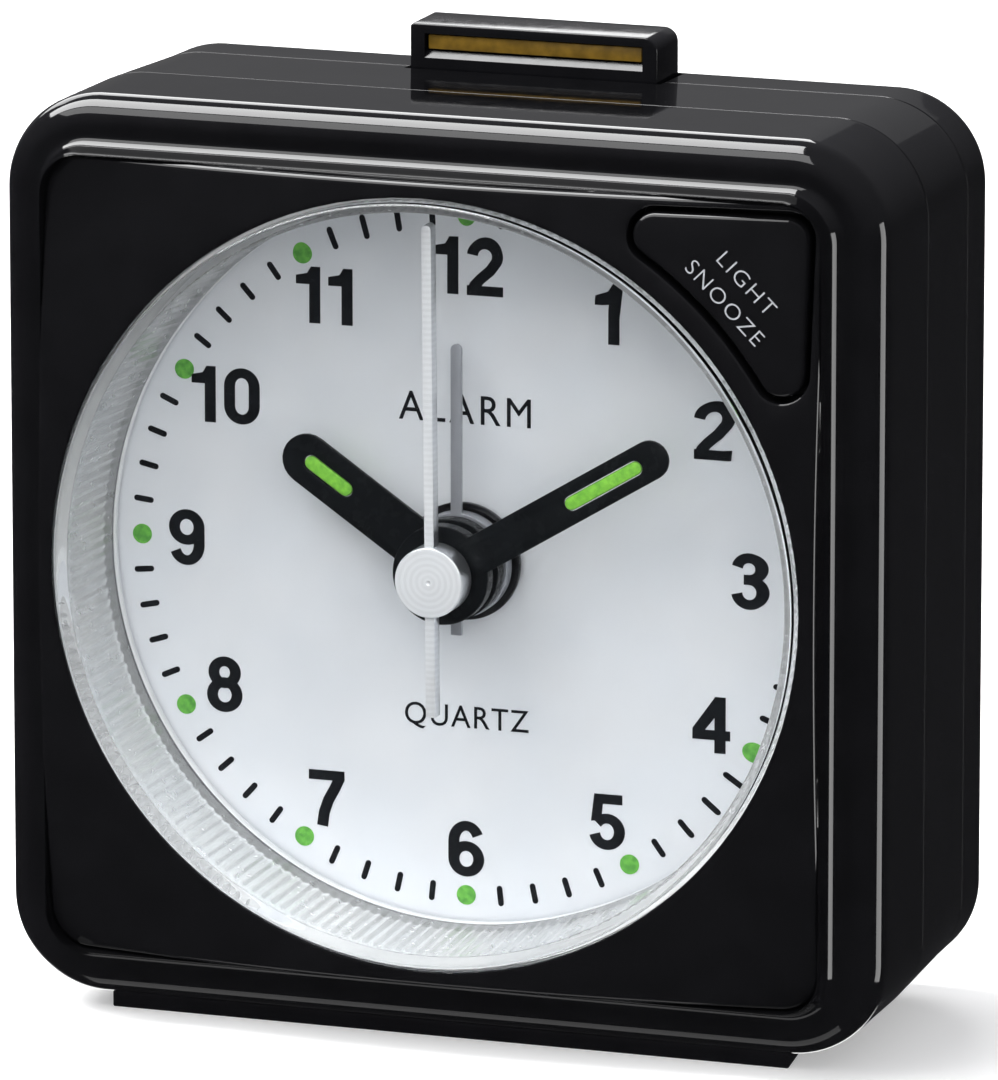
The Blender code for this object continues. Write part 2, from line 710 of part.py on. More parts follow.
def make_rotor(pinion_material, magnet_material):
    down = radians(ROTOR_DIRECTION + 180)
    arbor = 0.3
    rotor = node(
        "rotor_pinion",
        rod(arbor, MIDDLE_PLATE[0] + 0.1, REAR_PLATE[1] - 0.2, 12),
        pinion_material,
        ROTOR_AT,
    )
    add(rotor, toothed(ROTOR_PINION, FINE_MODULE, pinion_of(INTERMEDIATE_LAYER), down), ROTOR_AT)
    node("rotor_magnet", tube(arbor + 0.08, 2.0, *MAGNET_LAYER, 20), magnet_material, ROTOR_AT)


def make_cannon_pinion(material):
    """Tube that carries the minute hand, with the pinion that drives the motion wheel."""
    bore, outside = CANNON_RADII
    cannon = node("cannon_pinion", tube(bore, outside, -4.6, CENTRE_LAYER[1] + 0.1, 16), material)
    teeth = toothed(
        CANNON_PINION, MOTION_MODULE, pinion_of(MOTION_LAYER), radians(MOTION_DIRECTION), bore + 0.2
    )
    add(cannon, teeth)


def make_hour_wheel(material):
    bore, outside = HOUR_RADII
    wheel = node("hour_wheel", tube(bore, outside, -3.0, HOUR_LAYER[1], 16), material)
    phase = gap_phase(HOUR_WHEEL, radians(MOTION_DIRECTION))
    layer = (HOUR_LAYER[0], HOUR_LAYER[1] - 0.02)
    add(wheel, toothed(HOUR_WHEEL, HOUR_MODULE, layer, phase, bore + 0.2))


def make_alarm_wheel(material):
    bore, outside = ALARM_RADII
    wheel = node("alarm_wheel", tube(bore, outside, -1.7, ALARM_LAYER[1], 16), material)
    phase = gap_phase(ALARM_WHEEL, radians(ALARM_SET_DIRECTION))
    layer = (ALARM_LAYER[0], ALARM_LAYER[1] - 0.02)
    add(wheel, toothed(ALARM_WHEEL, MOTION_MODULE, layer, phase, bore + 0.2))


def make_motion_wheel(material):
    """Motion wheel and pinion on the shaft that the time-setting knob turns."""
    back = radians(MOTION_DIRECTION + 180)
    wheel = node("motion_wheel", rod(SHAFT_RADIUS, FRONT_PLATE[0] + 0.1, SHAFT_REAR, 12), material, MOTION_AT)
    teeth = toothed(MOTION_WHEEL, MOTION_MODULE, MOTION_LAYER, gap_phase(MOTION_WHEEL, back))
    add(wheel, teeth, MOTION_AT)
    pinion = (HOUR_LAYER[0] - PINION_EXTRA, MOTION_LAYER[0] + 0.1)
    add(wheel, toothed(MOTION_PINION, HOUR_MODULE, pinion, back), MOTION_AT)


def make_alarm_set_shaft(material):
    back = radians(ALARM_SET_DIRECTION + 180)
    shaft = node("alarm_set_shaft", rod(SHAFT_RADIUS, FRONT_PLATE[0] + 0.1, SHAFT_REAR, 12), material, ALARM_SET_AT)
    add(shaft, toothed(ALARM_SET_PINION, MOTION_MODULE, pinion_of(ALARM_LAYER), back), ALARM_SET_AT)


def make_knob(name, at, material):
    """Knurled setting knob with a stem that reaches through the rear cover."""
    grips = 18
    outline = []
    for i in range(2 * grips):
        radius = KNOB_RADIUS - (0.3 if i % 2 else 0.0)
        outline.append((radius * cos(pi * i / grips), radius * sin(pi * i / grips)))
    knob = node(name, prism(outline, REAR_FACE + 0.4, KNOB_REAR), material, at)
    add(knob, rod(KNOB_STEM, REAR_INNER - 0.4, REAR_FACE + 0.8, 16), at)
    cut(knob, rod(SHAFT_RADIUS + 0.07, REAR_INNER - 1.0, SHAFT_REAR + 0.3, 12), at)


# ---------------------------------------------------------------- movement frame and motor
PLATE_X = 14.4
PLATE_Z = (-12.4, 15.4)
PILLARS = ((-12.9, -10.9), (12.9, -10.9), (-12.9, 13.9), (12.9, 13.9))


def plate(name, layer, holes, material):
    outline = rounded_box((-PLATE_X, PLATE_X), PLATE_Z, 1.5)
    return node(name, prism(outline, *layer, holes), material)


def make_plates(material):
    centre = (0.0, 0.0)
    shafts = [round_hole(SHAFT_HOLE, MOTION_AT), round_hole(SHAFT_HOLE, ALARM_SET_AT)]
    pivots = [round_hole(PIVOT_HOLE, at, 12) for at in (THIRD_AT, INTERMEDIATE_AT)]
    rotor = [round_hole(PIVOT_HOLE - 0.1, ROTOR_AT, 12)]
    front_holes = [round_hole(ALARM_RADII[1] + 0.15, centre)] + shafts
    front = plate("movement_front_plate", FRONT_PLATE, front_holes, material)
    middle_holes = [round_hole(CANNON_RADII[1] + 0.15, centre)] + shafts + pivots + rotor
    plate("movement_middle_plate", MIDDLE_PLATE, middle_holes, material)
    rear_holes = [round_hole(PIVOT_HOLE, centre, 12)] + shafts + pivots + rotor
    rear = plate("movement_rear_plate", REAR_PLATE, rear_holes, material)
    for at in PILLARS:
        add(front, rod(0.9, FRONT_PLATE[1] - 0.3, MIDDLE_PLATE[0] - PLATE_CLEARANCE, 8), at)
        add(rear, rod(0.9, MIDDLE_PLATE[1] + PLATE_CLEARANCE, REAR_PLATE[0] + 0.3, 8), at)
    window = box((-8.6, 8.6), (REAR_PLATE[0] - 1, REAR_PLATE[1] + 1), (15.2, 16.0))
    cut(rear, window)


COIL_Z = 18.4
COIL_DEPTH = 10.8
COIL_HALF = 7.6


def make_motor(iron, plastic, copper):
    """A closed soft-iron ring with a hole for the rotor; its upper bar is the coil's core."""
    ring = [(-11.2, 10.4), (11.2, 10.4), (11.2, COIL_Z + 0.6), (-11.2, COIL_Z + 0.6)]
    window = [(-8.4, 15.6), (8.4, 15.6), (8.4, COIL_Z - 0.6), (-8.4, COIL_Z - 0.6)]
    node("stator", prism(ring, *STATOR_LAYER, [window, round_hole(2.35, ROTOR_AT, 20)]), iron)
    core, drum, flange = 0.95, 1.35, 2.1
    bobbin = [
        (core, -COIL_HALF), (core, COIL_HALF), (flange, COIL_HALF), (flange, COIL_HALF - 0.6),
        (drum, COIL_HALF - 0.6), (drum, 0.6 - COIL_HALF), (flange, 0.6 - COIL_HALF), (flange, -COIL_HALF),
    ]
    node("coil_bobbin", turned_along_x(bobbin, 16, COIL_DEPTH, COIL_Z), plastic)
    reach = COIL_HALF - 0.8
    winding = [(drum + 0.1, -reach), (drum + 0.1, reach), (flange - 0.15, reach), (flange - 0.15, -reach)]
    node("coil_winding", turned_along_x(winding, 16, COIL_DEPTH, COIL_Z), copper)


# ---------------------------------------------------------------- electrics
BOARD_X = 19.5
BOARD_Z = (15.6, 21.6)
LED_AT = (16.2, 16.7)


def make_board(board, metal, epoxy):
    outline = [(-BOARD_X, BOARD_Z[0]), (BOARD_X, BOARD_Z[0]), (BOARD_X, BOARD_Z[1]), (-BOARD_X, BOARD_Z[1])]
    node("circuit_board", prism(outline, *BOARD_LAYER), board)
    can = [(0, -18.2), (0.8, -18.2), (1.0, -18.0), (1.0, -12.4), (0, -12.4)]
    node("quartz_crystal_can", turned_along_x(can, 12, BOARD_LAYER[0] - 1.3, 18.0), metal)
    blob = [(0, 14.5), (2.4, 14.5), (2.0, 14.9), (1.1, 15.1), (0, 15.1)]
    node("chip", turned(blob, 16), epoxy, (-5.5, 18.6))


def make_led(material):
    """Dial lamp on two long legs in front of the circuit board."""
    lens = turned([(0, 1.0), (1.0, 1.4), (1.5, 2.4), (1.5, 5.4), (0, 5.4)], 12)
    led = node("light_led", lens, material, LED_AT)
    for side in (-0.65, 0.65):
        add(led, rod(0.22, 5.0, BOARD_LAYER[0] - PLATE_CLEARANCE, 6, (side, 0)), LED_AT)


def make_snooze_contact(material):
    """Bent spring strip in front of the board; the snooze plunger stops just short of its free end."""
    strip = [
        (12.6, 13.05), (15.0, 13.05), (17.2, 11.85), (21.4, 11.85),
        (21.4, 11.6), (17.1, 11.6), (14.9, 12.8), (12.6, 12.8),
    ]
    node("snooze_contact", along_z(prism(strip, 18.5, 20.7)), material)


def make_alarm_switch(material):
    leaf = node("alarm_switch_leaf", box((-3.0, 11.0), (11.4, 12.6), (20.75, 20.95)), material)
    add(leaf, box((10.6, 11.0), (11.6, 13.05), (18.6, 20.9)))


def make_buzzer(material):
    front = REAR_INNER - 1.1
    plate, ceramic = front + 0.4, front + 0.7
    disc = [(0, front), (7.4, front), (7.4, plate), (5.4, plate), (5.4, ceramic), (0, ceramic)]
    node("piezo_buzzer", turned(disc, 24), material, BUZZER_AT)


def make_cell(material):
    start, end = CELL_ENDS
    shell_end = end - 0.8
    profile = [
        (0, start), (4.6, start), (CELL_RADIUS, start + 0.4), (CELL_RADIUS, shell_end - 0.4),
        (4.7, shell_end), (1.9, shell_end), (1.9, end), (0, end),
    ]
    node("battery_cell", turned_along_x(profile, 24, CELL_DEPTH, CELL_Z), material)


def make_contacts(material):
    plus_x = CELL_ENDS[1] + 0.3
    tab = BAY_Z[1] + BAY_WALL + 0.6
    plus = node("battery_contact_plus", box((plus_x, plus_x + 0.3), (6.0, 13.0), (-22.6, -16.0)), material)
    add(plus, box((plus_x, plus_x + 0.3), (7.0, 9.0), (-17.0, tab)))

    back_x = -23.1
    spring = node("battery_spring_minus", box((back_x - 0.3, back_x), (6.0, 13.0), (-22.6, -16.0)), material)
    add(spring, box((back_x - 0.3, back_x), (7.0, 9.0), (-17.0, tab)))
    add(spring, helix(back_x - 0.1, CELL_ENDS[0] - 0.3))


def helix(start_x, end_x):
    """A conical coil of wire about the cell's axis."""
    turns, wire, sides, per_turn = 2.0, 0.22, 5, 12
    steps = int(turns * per_turn)
    rings = []
    for i in range(steps + 1):
        share = i / steps
        turn = 2 * pi * turns * share
        radius = 2.6 - 1.1 * share
        x = start_x + (end_x - wire - start_x) * share
        out = (cos(turn), sin(turn))
        ring = []
        for k in range(sides):
            around = 2 * pi * k / sides
            reach = radius + wire * cos(around)
            ring.append((x + wire * sin(around), CELL_DEPTH + reach * out[0], CELL_Z + reach * out[1]))
        rings.append(ring)
    return loft(rings)


def make_wire(name, side, material):
    """Lead from a battery contact up the side of the movement to the circuit board."""
    route = [
        (23.0, 8.0, -11.9), (22.6, 7.8, -10.6), (20.0, 7.5, -9.6), (17.8, 7.5, -6.0), (17.2, 8.0, 0.0),
        (17.2, 9.0, 6.0), (17.4, 10.4, 11.0), (17.8, 11.8, 14.2), (18.0, 12.6, 16.6),
    ]
    curve = bpy.data.curves.new(name, "CURVE")
    curve.dimensions = "3D"
    curve.bevel_depth = 0.45 * MM
    curve.bevel_resolution = 1
    curve.resolution_u = 2
    curve.use_fill_caps = True
    spline = curve.splines.new("BEZIER")
    spline.bezier_points.add(len(route) - 1)
    for point, (x, y, z) in zip(spline.bezier_points, route):
        point.co = (side * x * MM, y * MM, z * MM)
        point.handle_left_type = "AUTO"
        point.handle_right_type = "AUTO"
    obj = bpy.data.objects.new(name, curve)
    obj.location = (0, DIAL_Y * MM, AXIS_Z * MM)
    curve.materials.append(material)
    bpy.context.collection.objects.link(obj)


# ---------------------------------------------------------------- buttons and screws
def make_snooze_button(material):
    """Rounded triangle that fills the groove, with a flange behind the panel and a long plunger."""
    arc = SNOOZE_ARC + 0.1 + SNOOZE_GROOVE
    edge = SNOOZE_EDGE - SNOOZE_GROOVE
    corner = SNOOZE_CORNER - 0.3
    bevel = 0.35
    top = corner_outline(arc + bevel, edge - bevel, corner)
    sides = corner_outline(arc, edge, corner)
    rings = [
        [(x, dome_depth(x, z), z) for x, z in top],
        [(x, dome_depth(x, z) + bevel, z) for x, z in sides],
        [(x, SNOOZE_STOP + 0.5, z) for x, z in sides],
    ]
    button = node("light_snooze_button", loft(rings), material)
    flange = corner_outline(SNOOZE_ARC + 0.15, SNOOZE_EDGE + 0.1, SNOOZE_CORNER)
    add(button, prism(flange, SNOOZE_STOP + 0.3, SNOOZE_STOP + 0.9))
    add(button, rod(1.1, SNOOZE_STOP + 0.7, 10.4, 12), (SNOOZE_PLUNGER_AT, SNOOZE_PLUNGER_AT))


def make_alarm_button(black, amber):
    """Pop-up bar with a window for the amber strip, a flange that stops it in the case and a stem."""
    front, rear = BUTTON_DEPTHS
    corner = 0.9
    arc = [
        (BUTTON_HALF - corner + corner * cos(t), BUTTON_TOP - corner + corner * sin(t))
        for t in (pi / 2 * i / 3 for i in range(4))
    ]
    outline = [(-BUTTON_HALF, 25.2), (BUTTON_HALF, 25.2)] + arc + [(-x, z) for x, z in reversed(arc)]
    button = node("alarm_button", prism(outline, front, rear), black)
    add(button, box((-9.2, 9.2), (front - 0.5, rear), (24.8, 25.8)))
    add(button, box((-3.0, 3.0), (front - 0.2, front + 1.0), (23.7, 25.0)))
    window_x, window_z = 7.15, (29.16, 30.3)
    cut(button, box((-window_x, window_x), (front - 1, front + 1.0), window_z))
    strip_x = window_x - 0.15
    node(
        "alarm_button_amber_strip",
        box((-strip_x, strip_x), (front + 0.3, front + 0.8), (window_z[0] + 0.12, window_z[1] - 0.12)),
        amber,
    )


def make_screws(material):
    """Self-tapping case screws, with a cross slot in each head."""
    places = [(-TOP_SCREW_AT, TOP_SCREW_AT, 3.6), (TOP_SCREW_AT, TOP_SCREW_AT, 3.6)]
    places += [(-SIDE_SCREW_AT[0], SIDE_SCREW_AT[1], 6.0), (SIDE_SCREW_AT[0], SIDE_SCREW_AT[1], 6.0)]
    head_front = REAR_FACE - 0.8
    for number, (x, z, tip) in enumerate(places, start=1):
        profile = [
            (0, tip), (SCREW_SHANK * 0.5, tip + 0.2), (SCREW_SHANK, tip + 1.0), (SCREW_SHANK, head_front),
            (SCREW_HEAD, head_front), (SCREW_HEAD, REAR_FACE - 0.35), (SCREW_HEAD - 0.5, REAR_FACE - 0.1),
            (0, REAR_FACE - 0.1),
        ]
        screw = node(f"case_screw_{number}", turned(profile, 12), material, (x, z))
        for half in ((1.1, 0.2), (0.2, 1.1)):
            slot = box((-half[0], half[0]), (REAR_FACE - 0.5, REAR_FACE + 1), (-half[1], half[1]))
            cut(screw, slot, (x, z))


# ---------------------------------------------------------------- assembly
def build():
    clear_scene()
    gloss = look("gloss_black", (0.012, 0.012, 0.014), 0.15)
    satin = look("satin_black", (0.02, 0.02, 0.022), 0.4)
    clear = look("clear_plastic", (0.95, 0.97, 1.0), 0.03, alpha=0.35)
    silver = look("dial_silver", (0.78, 0.79, 0.82), 0.35, 0.3)
    white = look("white_plastic", (0.85, 0.86, 0.87), 0.4)
    hand_black = look("hand_black", (0.015, 0.017, 0.019), 0.5)
    lume = look("lume_green", (0.30, 0.80, 0.12), 0.5)
    grey = look("alarm_hand_grey", (0.36, 0.37, 0.41), 0.35, 0.6)
    chrome = look("chrome", (0.85, 0.86, 0.88), 0.08, 1.0)
    amber = look("amber", (0.35, 0.21, 0.03), 0.4)
    gear_white = look("gear_white", (0.80, 0.80, 0.76), 0.45)
    brass = look("brass", (0.72, 0.55, 0.25), 0.3, 1.0)
    frame = look("movement_plastic", (0.10, 0.11, 0.12), 0.5)
    iron = look("soft_iron", (0.45, 0.45, 0.46), 0.35, 1.0)
    magnet = look("magnet", (0.16, 0.16, 0.17), 0.5, 0.6)
    copper = look("copper", (0.62, 0.27, 0.12), 0.35, 1.0)
    board = look("board_green", (0.03, 0.16, 0.07), 0.4)
    epoxy = look("epoxy_black", (0.01, 0.01, 0.01), 0.25)
    steel = look("steel", (0.60, 0.61, 0.62), 0.25, 1.0)
    cell = look("cell_label", (0.20, 0.22, 0.25), 0.35)
    led = look("led_clear", (0.92, 0.90, 0.82), 0.1)
    red = look("wire_red", (0.50, 0.02, 0.02), 0.4)
    black = look("wire_black", (0.02, 0.02, 0.02), 0.4)

    make_front_case(gloss)
    make_middle_case(gloss)
    make_rear_cover(gloss)
    make_battery_door(gloss)
    make_foot(satin)
    make_crystal(clear)
    make_dial(silver)
    make_dial_ring(white)
    make_dial_bush(satin)

    hub_depth = 1.0
    make_lumed_hand(
        "hour_hand", HOUR_ANGLE, 3.2, 12.8, (HOUR_RADII[1] + 0.08, 3.2, hub_depth),
        (-3.2, 0.35), (0.85, 3.5, 9.5), (hand_black, lume),
    )
    make_lumed_hand(
        "minute_hand", MINUTE_ANGLE, 2.45, 17.0, (CANNON_RADII[1] + 0.08, 3.1, hub_depth),
        (-4.8, 0.35), (0.8, 5.6, 12.3), (hand_black, lume),
    )
    make_alarm_hand(grey)
    make_second_hand(chrome)

    make_second_wheel(gear_white)
    make_third_wheel(gear_white)
    make_centre_wheel(brass)
    make_intermediate_wheel(gear_white)
    make_rotor(gear_white, magnet)
    make_cannon_pinion(brass)
    make_hour_wheel(gear_white)
    make_alarm_wheel(gear_white)
    make_motion_wheel(gear_white)
    make_alarm_set_shaft(gear_white)
    make_knob("time_set_knob", MOTION_AT, satin)
    make_knob("alarm_set_knob", ALARM_SET_AT, satin)

    make_plates(frame)
    make_motor(iron, white, copper)
    make_board(board, steel, epoxy)
    make_led(led)
    make_snooze_contact(brass)
    make_alarm_switch(brass)
    make_buzzer(brass)
    make_cell(cell)
    make_contacts(steel)
    make_wire("battery_wire_plus", 1, red)
    make_wire("battery_wire_minus", -1, black)

    make_snooze_button(gloss)
    make_alarm_button(satin, amber)
    make_screws(steel)


build()
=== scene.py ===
"""Looks of the travel alarm clock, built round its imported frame.

Sizes are in millimetres unless a name says otherwise.  A point is (x, depth, z): x runs to the right,
depth runs from the dial's printed face towards the back, and z is the height above the hands' axis.
"""

import json
from math import atan2, cos, hypot, pi, radians, sin

import bmesh
import bpy
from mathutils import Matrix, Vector


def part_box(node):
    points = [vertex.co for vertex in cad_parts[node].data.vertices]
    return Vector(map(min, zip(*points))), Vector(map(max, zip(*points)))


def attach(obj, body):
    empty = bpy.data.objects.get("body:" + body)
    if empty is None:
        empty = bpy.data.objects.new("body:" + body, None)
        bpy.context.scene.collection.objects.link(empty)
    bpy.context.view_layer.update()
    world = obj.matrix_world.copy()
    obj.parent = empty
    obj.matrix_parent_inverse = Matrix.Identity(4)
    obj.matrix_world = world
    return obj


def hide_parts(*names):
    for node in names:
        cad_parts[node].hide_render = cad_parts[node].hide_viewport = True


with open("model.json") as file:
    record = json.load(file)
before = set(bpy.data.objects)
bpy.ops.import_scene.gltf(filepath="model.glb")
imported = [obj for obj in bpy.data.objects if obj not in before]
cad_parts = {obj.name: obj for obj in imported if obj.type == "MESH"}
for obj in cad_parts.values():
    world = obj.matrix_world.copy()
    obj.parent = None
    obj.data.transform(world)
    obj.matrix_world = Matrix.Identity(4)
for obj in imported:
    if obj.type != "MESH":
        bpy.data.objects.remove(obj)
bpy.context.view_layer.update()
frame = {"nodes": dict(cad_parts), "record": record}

MM = 0.001
DIAL_LOW, DIAL_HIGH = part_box("dial")
ORIGIN = Vector((0, DIAL_LOW.y, (DIAL_LOW.z + DIAL_HIGH.z) / 2))


def span(node):
    """A CAD node's extent along x, depth and z, as three (low, high) pairs."""
    low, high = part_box(node)
    return [((low[i] - ORIGIN[i]) / MM, (high[i] - ORIGIN[i]) / MM) for i in range(3)]


def middle(node):
    """The (x, z) at the middle of a CAD node."""
    x, _, z = span(node)
    return (x[0] + x[1]) / 2, (z[0] + z[1]) / 2


# ---------------------------------------------------------------- driving dimensions
CASE_HALF = span("front_case")[0][1]
CASE_CORNER = 6.1
PANEL_HALF = 25.1
PANEL_CORNER = 2.5
DOME_RADIUS = 150.0
CRYSTAL_FRONT = span("crystal")[1][0]
CRYSTAL_RADIUS = 23.9
CRYSTAL_HOLE = 24.17
CRYSTAL_PLATE = 1.25
LENS_BORE = 22.9                 # inside the lens's skirt and the dial ring, at the dial
CRYSTAL_PROUD = 0.45             # how far the lens stands out of the panel
PANEL_PEAK = CRYSTAL_FRONT + CRYSTAL_PROUD - CRYSTAL_RADIUS ** 2 / (2 * DOME_RADIUS)
SHOULDER_DEPTH = -5.8
SHOULDER_FILLET = 1.8
SEAM_ONE = 3.4
SEAM_TWO = 12.6
SEAM_GAP = 0.3
SEAM_LINE = 0.12                 # the gap that shows at a seam
FLAT_EDGE = 0.15                 # a flat face keeps its shading up to this far from a rounded edge
SEAM_EDGE = 0.03                 # rounding of the shells' edges at the seams
REAR_FACE = span("rear_cover")[1][1]
WALL = 1.6
REAR_INNER = REAR_FACE - WALL

SNOOZE_ARC = 25.5
SNOOZE_EDGE = 24.55
SNOOZE_CORNER = 1.7
SNOOZE_GROOVE = 0.32
SNOOZE_STOP = -6.1

POST_BORE = 1.15
POST_RADIUS = 2.2
POST_REAR = 9.7

BAY_X = 24.3
BAY_Z = (-24.75, -13.75)
BAY_FLOOR = 4.0
BAY_WALL = 0.8
BAY_CORNER = 2.4
DOOR_OPENING_X = 22.9
DOOR_LEDGE = 0.9

ARC_STEPS = 20
SIDE_STEPS = 24
SHARP = 38                       # edges that turn further than this many degrees are shaded as edges


# ---------------------------------------------------------------- mesh helpers
def solid(name, bm, material=None, sharp=SHARP):
    """An object of a shape in millimetres, shaded smooth except at edges sharper than that angle."""
    bm.normal_update()
    bmesh.ops.recalc_face_normals(bm, faces=bm.faces)
    bmesh.ops.scale(bm, vec=(MM, MM, MM), verts=bm.verts)
    bmesh.ops.translate(bm, vec=ORIGIN, verts=bm.verts)
    mesh = bpy.data.meshes.new(name)
    bm.to_mesh(mesh)
    bm.free()
    obj = bpy.data.objects.new(name, mesh)
    bpy.context.scene.collection.objects.link(obj)
    if material:
        mesh.materials.append(material)
    soften(mesh, sharp)
    return obj


def soften(mesh, sharp):
    mesh.shade_smooth()
    mesh.set_sharp_from_angle(angle=radians(sharp))


def settle(obj, sharp):
    """Makes the result of an object's modifiers its own mesh."""
    graph = bpy.context.evaluated_depsgraph_get()
    mesh = bpy.data.meshes.new_from_object(obj.evaluated_get(graph))
    obj.modifiers.clear()
    obj.data = mesh
    soften(mesh, sharp)
    return obj


def add(bm):
    """A step for shape() that joins on a body."""
    return "UNION", bm


def cut(bm):
    """A step for shape() that takes a body away."""
    return "DIFFERENCE", bm


def shape(obj, steps, sharp=SHARP):
    """Carries out add() and cut() steps on an object, in order."""
    helpers = []
    for operation, bm in steps:
        helper = solid("helper", bm)
        modifier = obj.modifiers.new(operation, "BOOLEAN")
        modifier.operation = operation
        modifier.object = helper
        helpers.append(helper)
    settle(obj, sharp)
    for helper in helpers:
        bpy.data.objects.remove(helper)
    return obj


def bevelled(obj, width, segments=3):
    """Rounds every edge sharper than 30 degrees and keeps the result as the object's mesh."""
    modifier = obj.modifiers.new("edges", "BEVEL")
    modifier.width = width * MM
    modifier.segments = segments
    modifier.limit_method = "ANGLE"
    modifier.angle_limit = radians(30)
    return settle(obj, SHARP)


def dress(obj, body, slot, *replaced):
    """Says which body a piece rides on and which CAD nodes it stands for, and hides those nodes; the slot is
    not used.
    """
    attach(obj, body)
    if replaced:
        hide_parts(*replaced)
    return obj


def loft(rings, closed=False):
    """Joins rings of points with faces.  A ring of one point is a tip.  An open loft has its ends filled."""
    bm = bmesh.new()
    rows = [[bm.verts.new(point) for point in ring] for ring in rings]
    pairs = list(zip(rows, rows[1:]))
    if closed:
        pairs.append((rows[-1], rows[0]))
    for first, second in pairs:
        count = max(len(first), len(second))
        for i in range(count):
            j = (i + 1) % count
            near = [first[i % len(first)], first[j % len(first)]]
            far = [second[j % len(second)], second[i % len(second)]]
            bm.faces.new(list(dict.fromkeys(near + far)))
    if not closed:
        for row in (rows[0], rows[-1]):
            if len(row) > 1:
                bm.faces.new(row)
    return bm


def circle(radius, depth, segments, centre=(0.0, 0.0)):
    if radius == 0:
        return [(centre[0], depth, centre[1])]
    turns = [2 * pi * i / segments for i in range(segments)]
    return [(centre[0] + radius * cos(t), depth, centre[1] + radius * sin(t)) for t in turns]


def turned(profile, segments, centre=(0.0, 0.0)):
    """A body turned about the depth axis from (radius, depth) points, closed unless it starts on the axis."""
    rings = [circle(radius, depth, segments, centre) for radius, depth in profile]
    return loft(rings, closed=profile[0][0] > 0)


def rod(radius, start, end, segments=32, centre=(0.0, 0.0)):
    return loft([circle(radius, start, segments, centre), circle(radius, end, segments, centre)])


def tube(inner, outer, start, end, segments=32, centre=(0.0, 0.0)):
    return turned([(inner, start), (inner, end), (outer, end), (outer, start)], segments, centre)


def box(x, depth, z):
    outline = [(x[0], z[0]), (x[1], z[0]), (x[1], z[1]), (x[0], z[1])]
    return prism(outline, depth[0], depth[1])


def prism(outline, start, end, holes=()):
    """An outline of (x, z) points made solid between two depths, with holes right through it."""
    bm = bmesh.new()
    edges = []
    for loop in (outline, *holes):
        verts = [bm.verts.new((x, start, z)) for x, z in loop]
        edges += [bm.edges.new((a, b)) for a, b in zip(verts, verts[1:] + verts[:1])]
    if holes:
        bmesh.ops.triangle_fill(bm, use_beauty=True, edges=edges)
    else:
        bm.faces.new(verts)
    grown = bmesh.ops.extrude_face_region(bm, geom=bm.faces[:])
    moved = [item for item in grown["geom"] if isinstance(item, bmesh.types.BMVert)]
    bmesh.ops.translate(bm, vec=(0, end - start, 0), verts=moved)
    return bm


def rounded_square(half, corner, arc_steps=ARC_STEPS, side_steps=SIDE_STEPS):
    """(x, z) points round a square with rounded corners, from the middle of its right side."""
    flat = half - corner
    points = []
    for number in range(4):
        turn = number * pi / 2
        side = [(half, -flat + 2 * flat * i / side_steps) for i in range(1, side_steps)]
        arc = [
            (flat + corner * cos(pi / 2 * i / arc_steps), flat + corner * sin(pi / 2 * i / arc_steps))
            for i in range(arc_steps + 1)
        ]
        points += [(x * cos(turn) - z * sin(turn), x * sin(turn) + z * cos(turn)) for x, z in side + arc]
    return points


def rounded_box(x, z, corner, steps=8):
    """(x, z) points of a rectangle with rounded corners."""
    points = []
    for number, (cx, cz) in enumerate(
        [(x[1] - corner, z[1] - corner), (x[0] + corner, z[1] - corner),
         (x[0] + corner, z[0] + corner), (x[1] - corner, z[0] + corner)]
    ):
        for i in range(steps + 1):
            turn = pi / 2 * (number + i / steps)
            points.append((cx + corner * cos(turn), cz + corner * sin(turn)))
    return points


def quarter(steps):
    """Turns from 0 to 90 degrees, in radians."""
    return [pi / 2 * i / steps for i in range(steps + 1)]


def dome_depth(x, z):
    return PANEL_PEAK + (x * x + z * z) / (2 * DOME_RADIUS)


def case_ring(inset, depth):
    return at_depth(rounded_square(CASE_HALF - inset, CASE_CORNER - inset), depth)


def panel_ring(half, drop):
    """A ring of the panel's edge, which follows the dome at a constant drop below it."""
    return on_dome(rounded_square(half, PANEL_CORNER + half - PANEL_HALF), drop)


def lens_ring(radius, drop=None, depth=None):
    """A circle with its points in line with the panel's, at a drop below the dome or at a depth."""
    ring = []
    for x, z in rounded_square(PANEL_HALF, PANEL_CORNER):
        scale = radius / hypot(x, z)
        at = (x * scale, z * scale)
        ring.append((at[0], dome_depth(*at) + drop if depth is None else depth, at[1]))
    return ring


def between(first, second, share):
    """A ring of the dome between two of its rings."""
    ring = []
    for (xa, _, za), (xb, _, zb) in zip(first, second):
        x, z = xa + (xb - xa) * share, za + (zb - za) * share
        ring.append((x, dome_depth(x, z), z))
    return ring


def corner_outline(grow=0.0, steps=32):
    """The opening of the corner button: an arc about the hands' axis and two straight edges, grown."""
    arc_radius, edge, corner = SNOOZE_ARC - grow, SNOOZE_EDGE + grow, SNOOZE_CORNER + grow
    z = edge - corner
    x = ((arc_radius + corner) ** 2 - z * z) ** 0.5
    meet = atan2(z, x)
    tips = steps // 2
    upper_left = [
        (x + corner * cos(t), z + corner * sin(t))
        for t in (pi / 2 + (meet + pi / 2) * i / tips for i in range(tips + 1))
    ]
    arc = [
        (arc_radius * cos(t), arc_radius * sin(t))
        for t in (meet + (pi / 2 - 2 * meet) * i / steps for i in range(1, steps))
    ]
    lower_right = [(b, a) for a, b in reversed(upper_left)]
    outer = [(z + corner * cos(t), z + corner * sin(t)) for t in quarter(steps // 3)]
    return upper_left + arc + lower_right + outer


def on_dome(outline, drop):
    return [(x, dome_depth(x, z) + drop, z) for x, z in outline]


def at_depth(outline, depth):
    return [(x, depth, z) for x, z in outline]


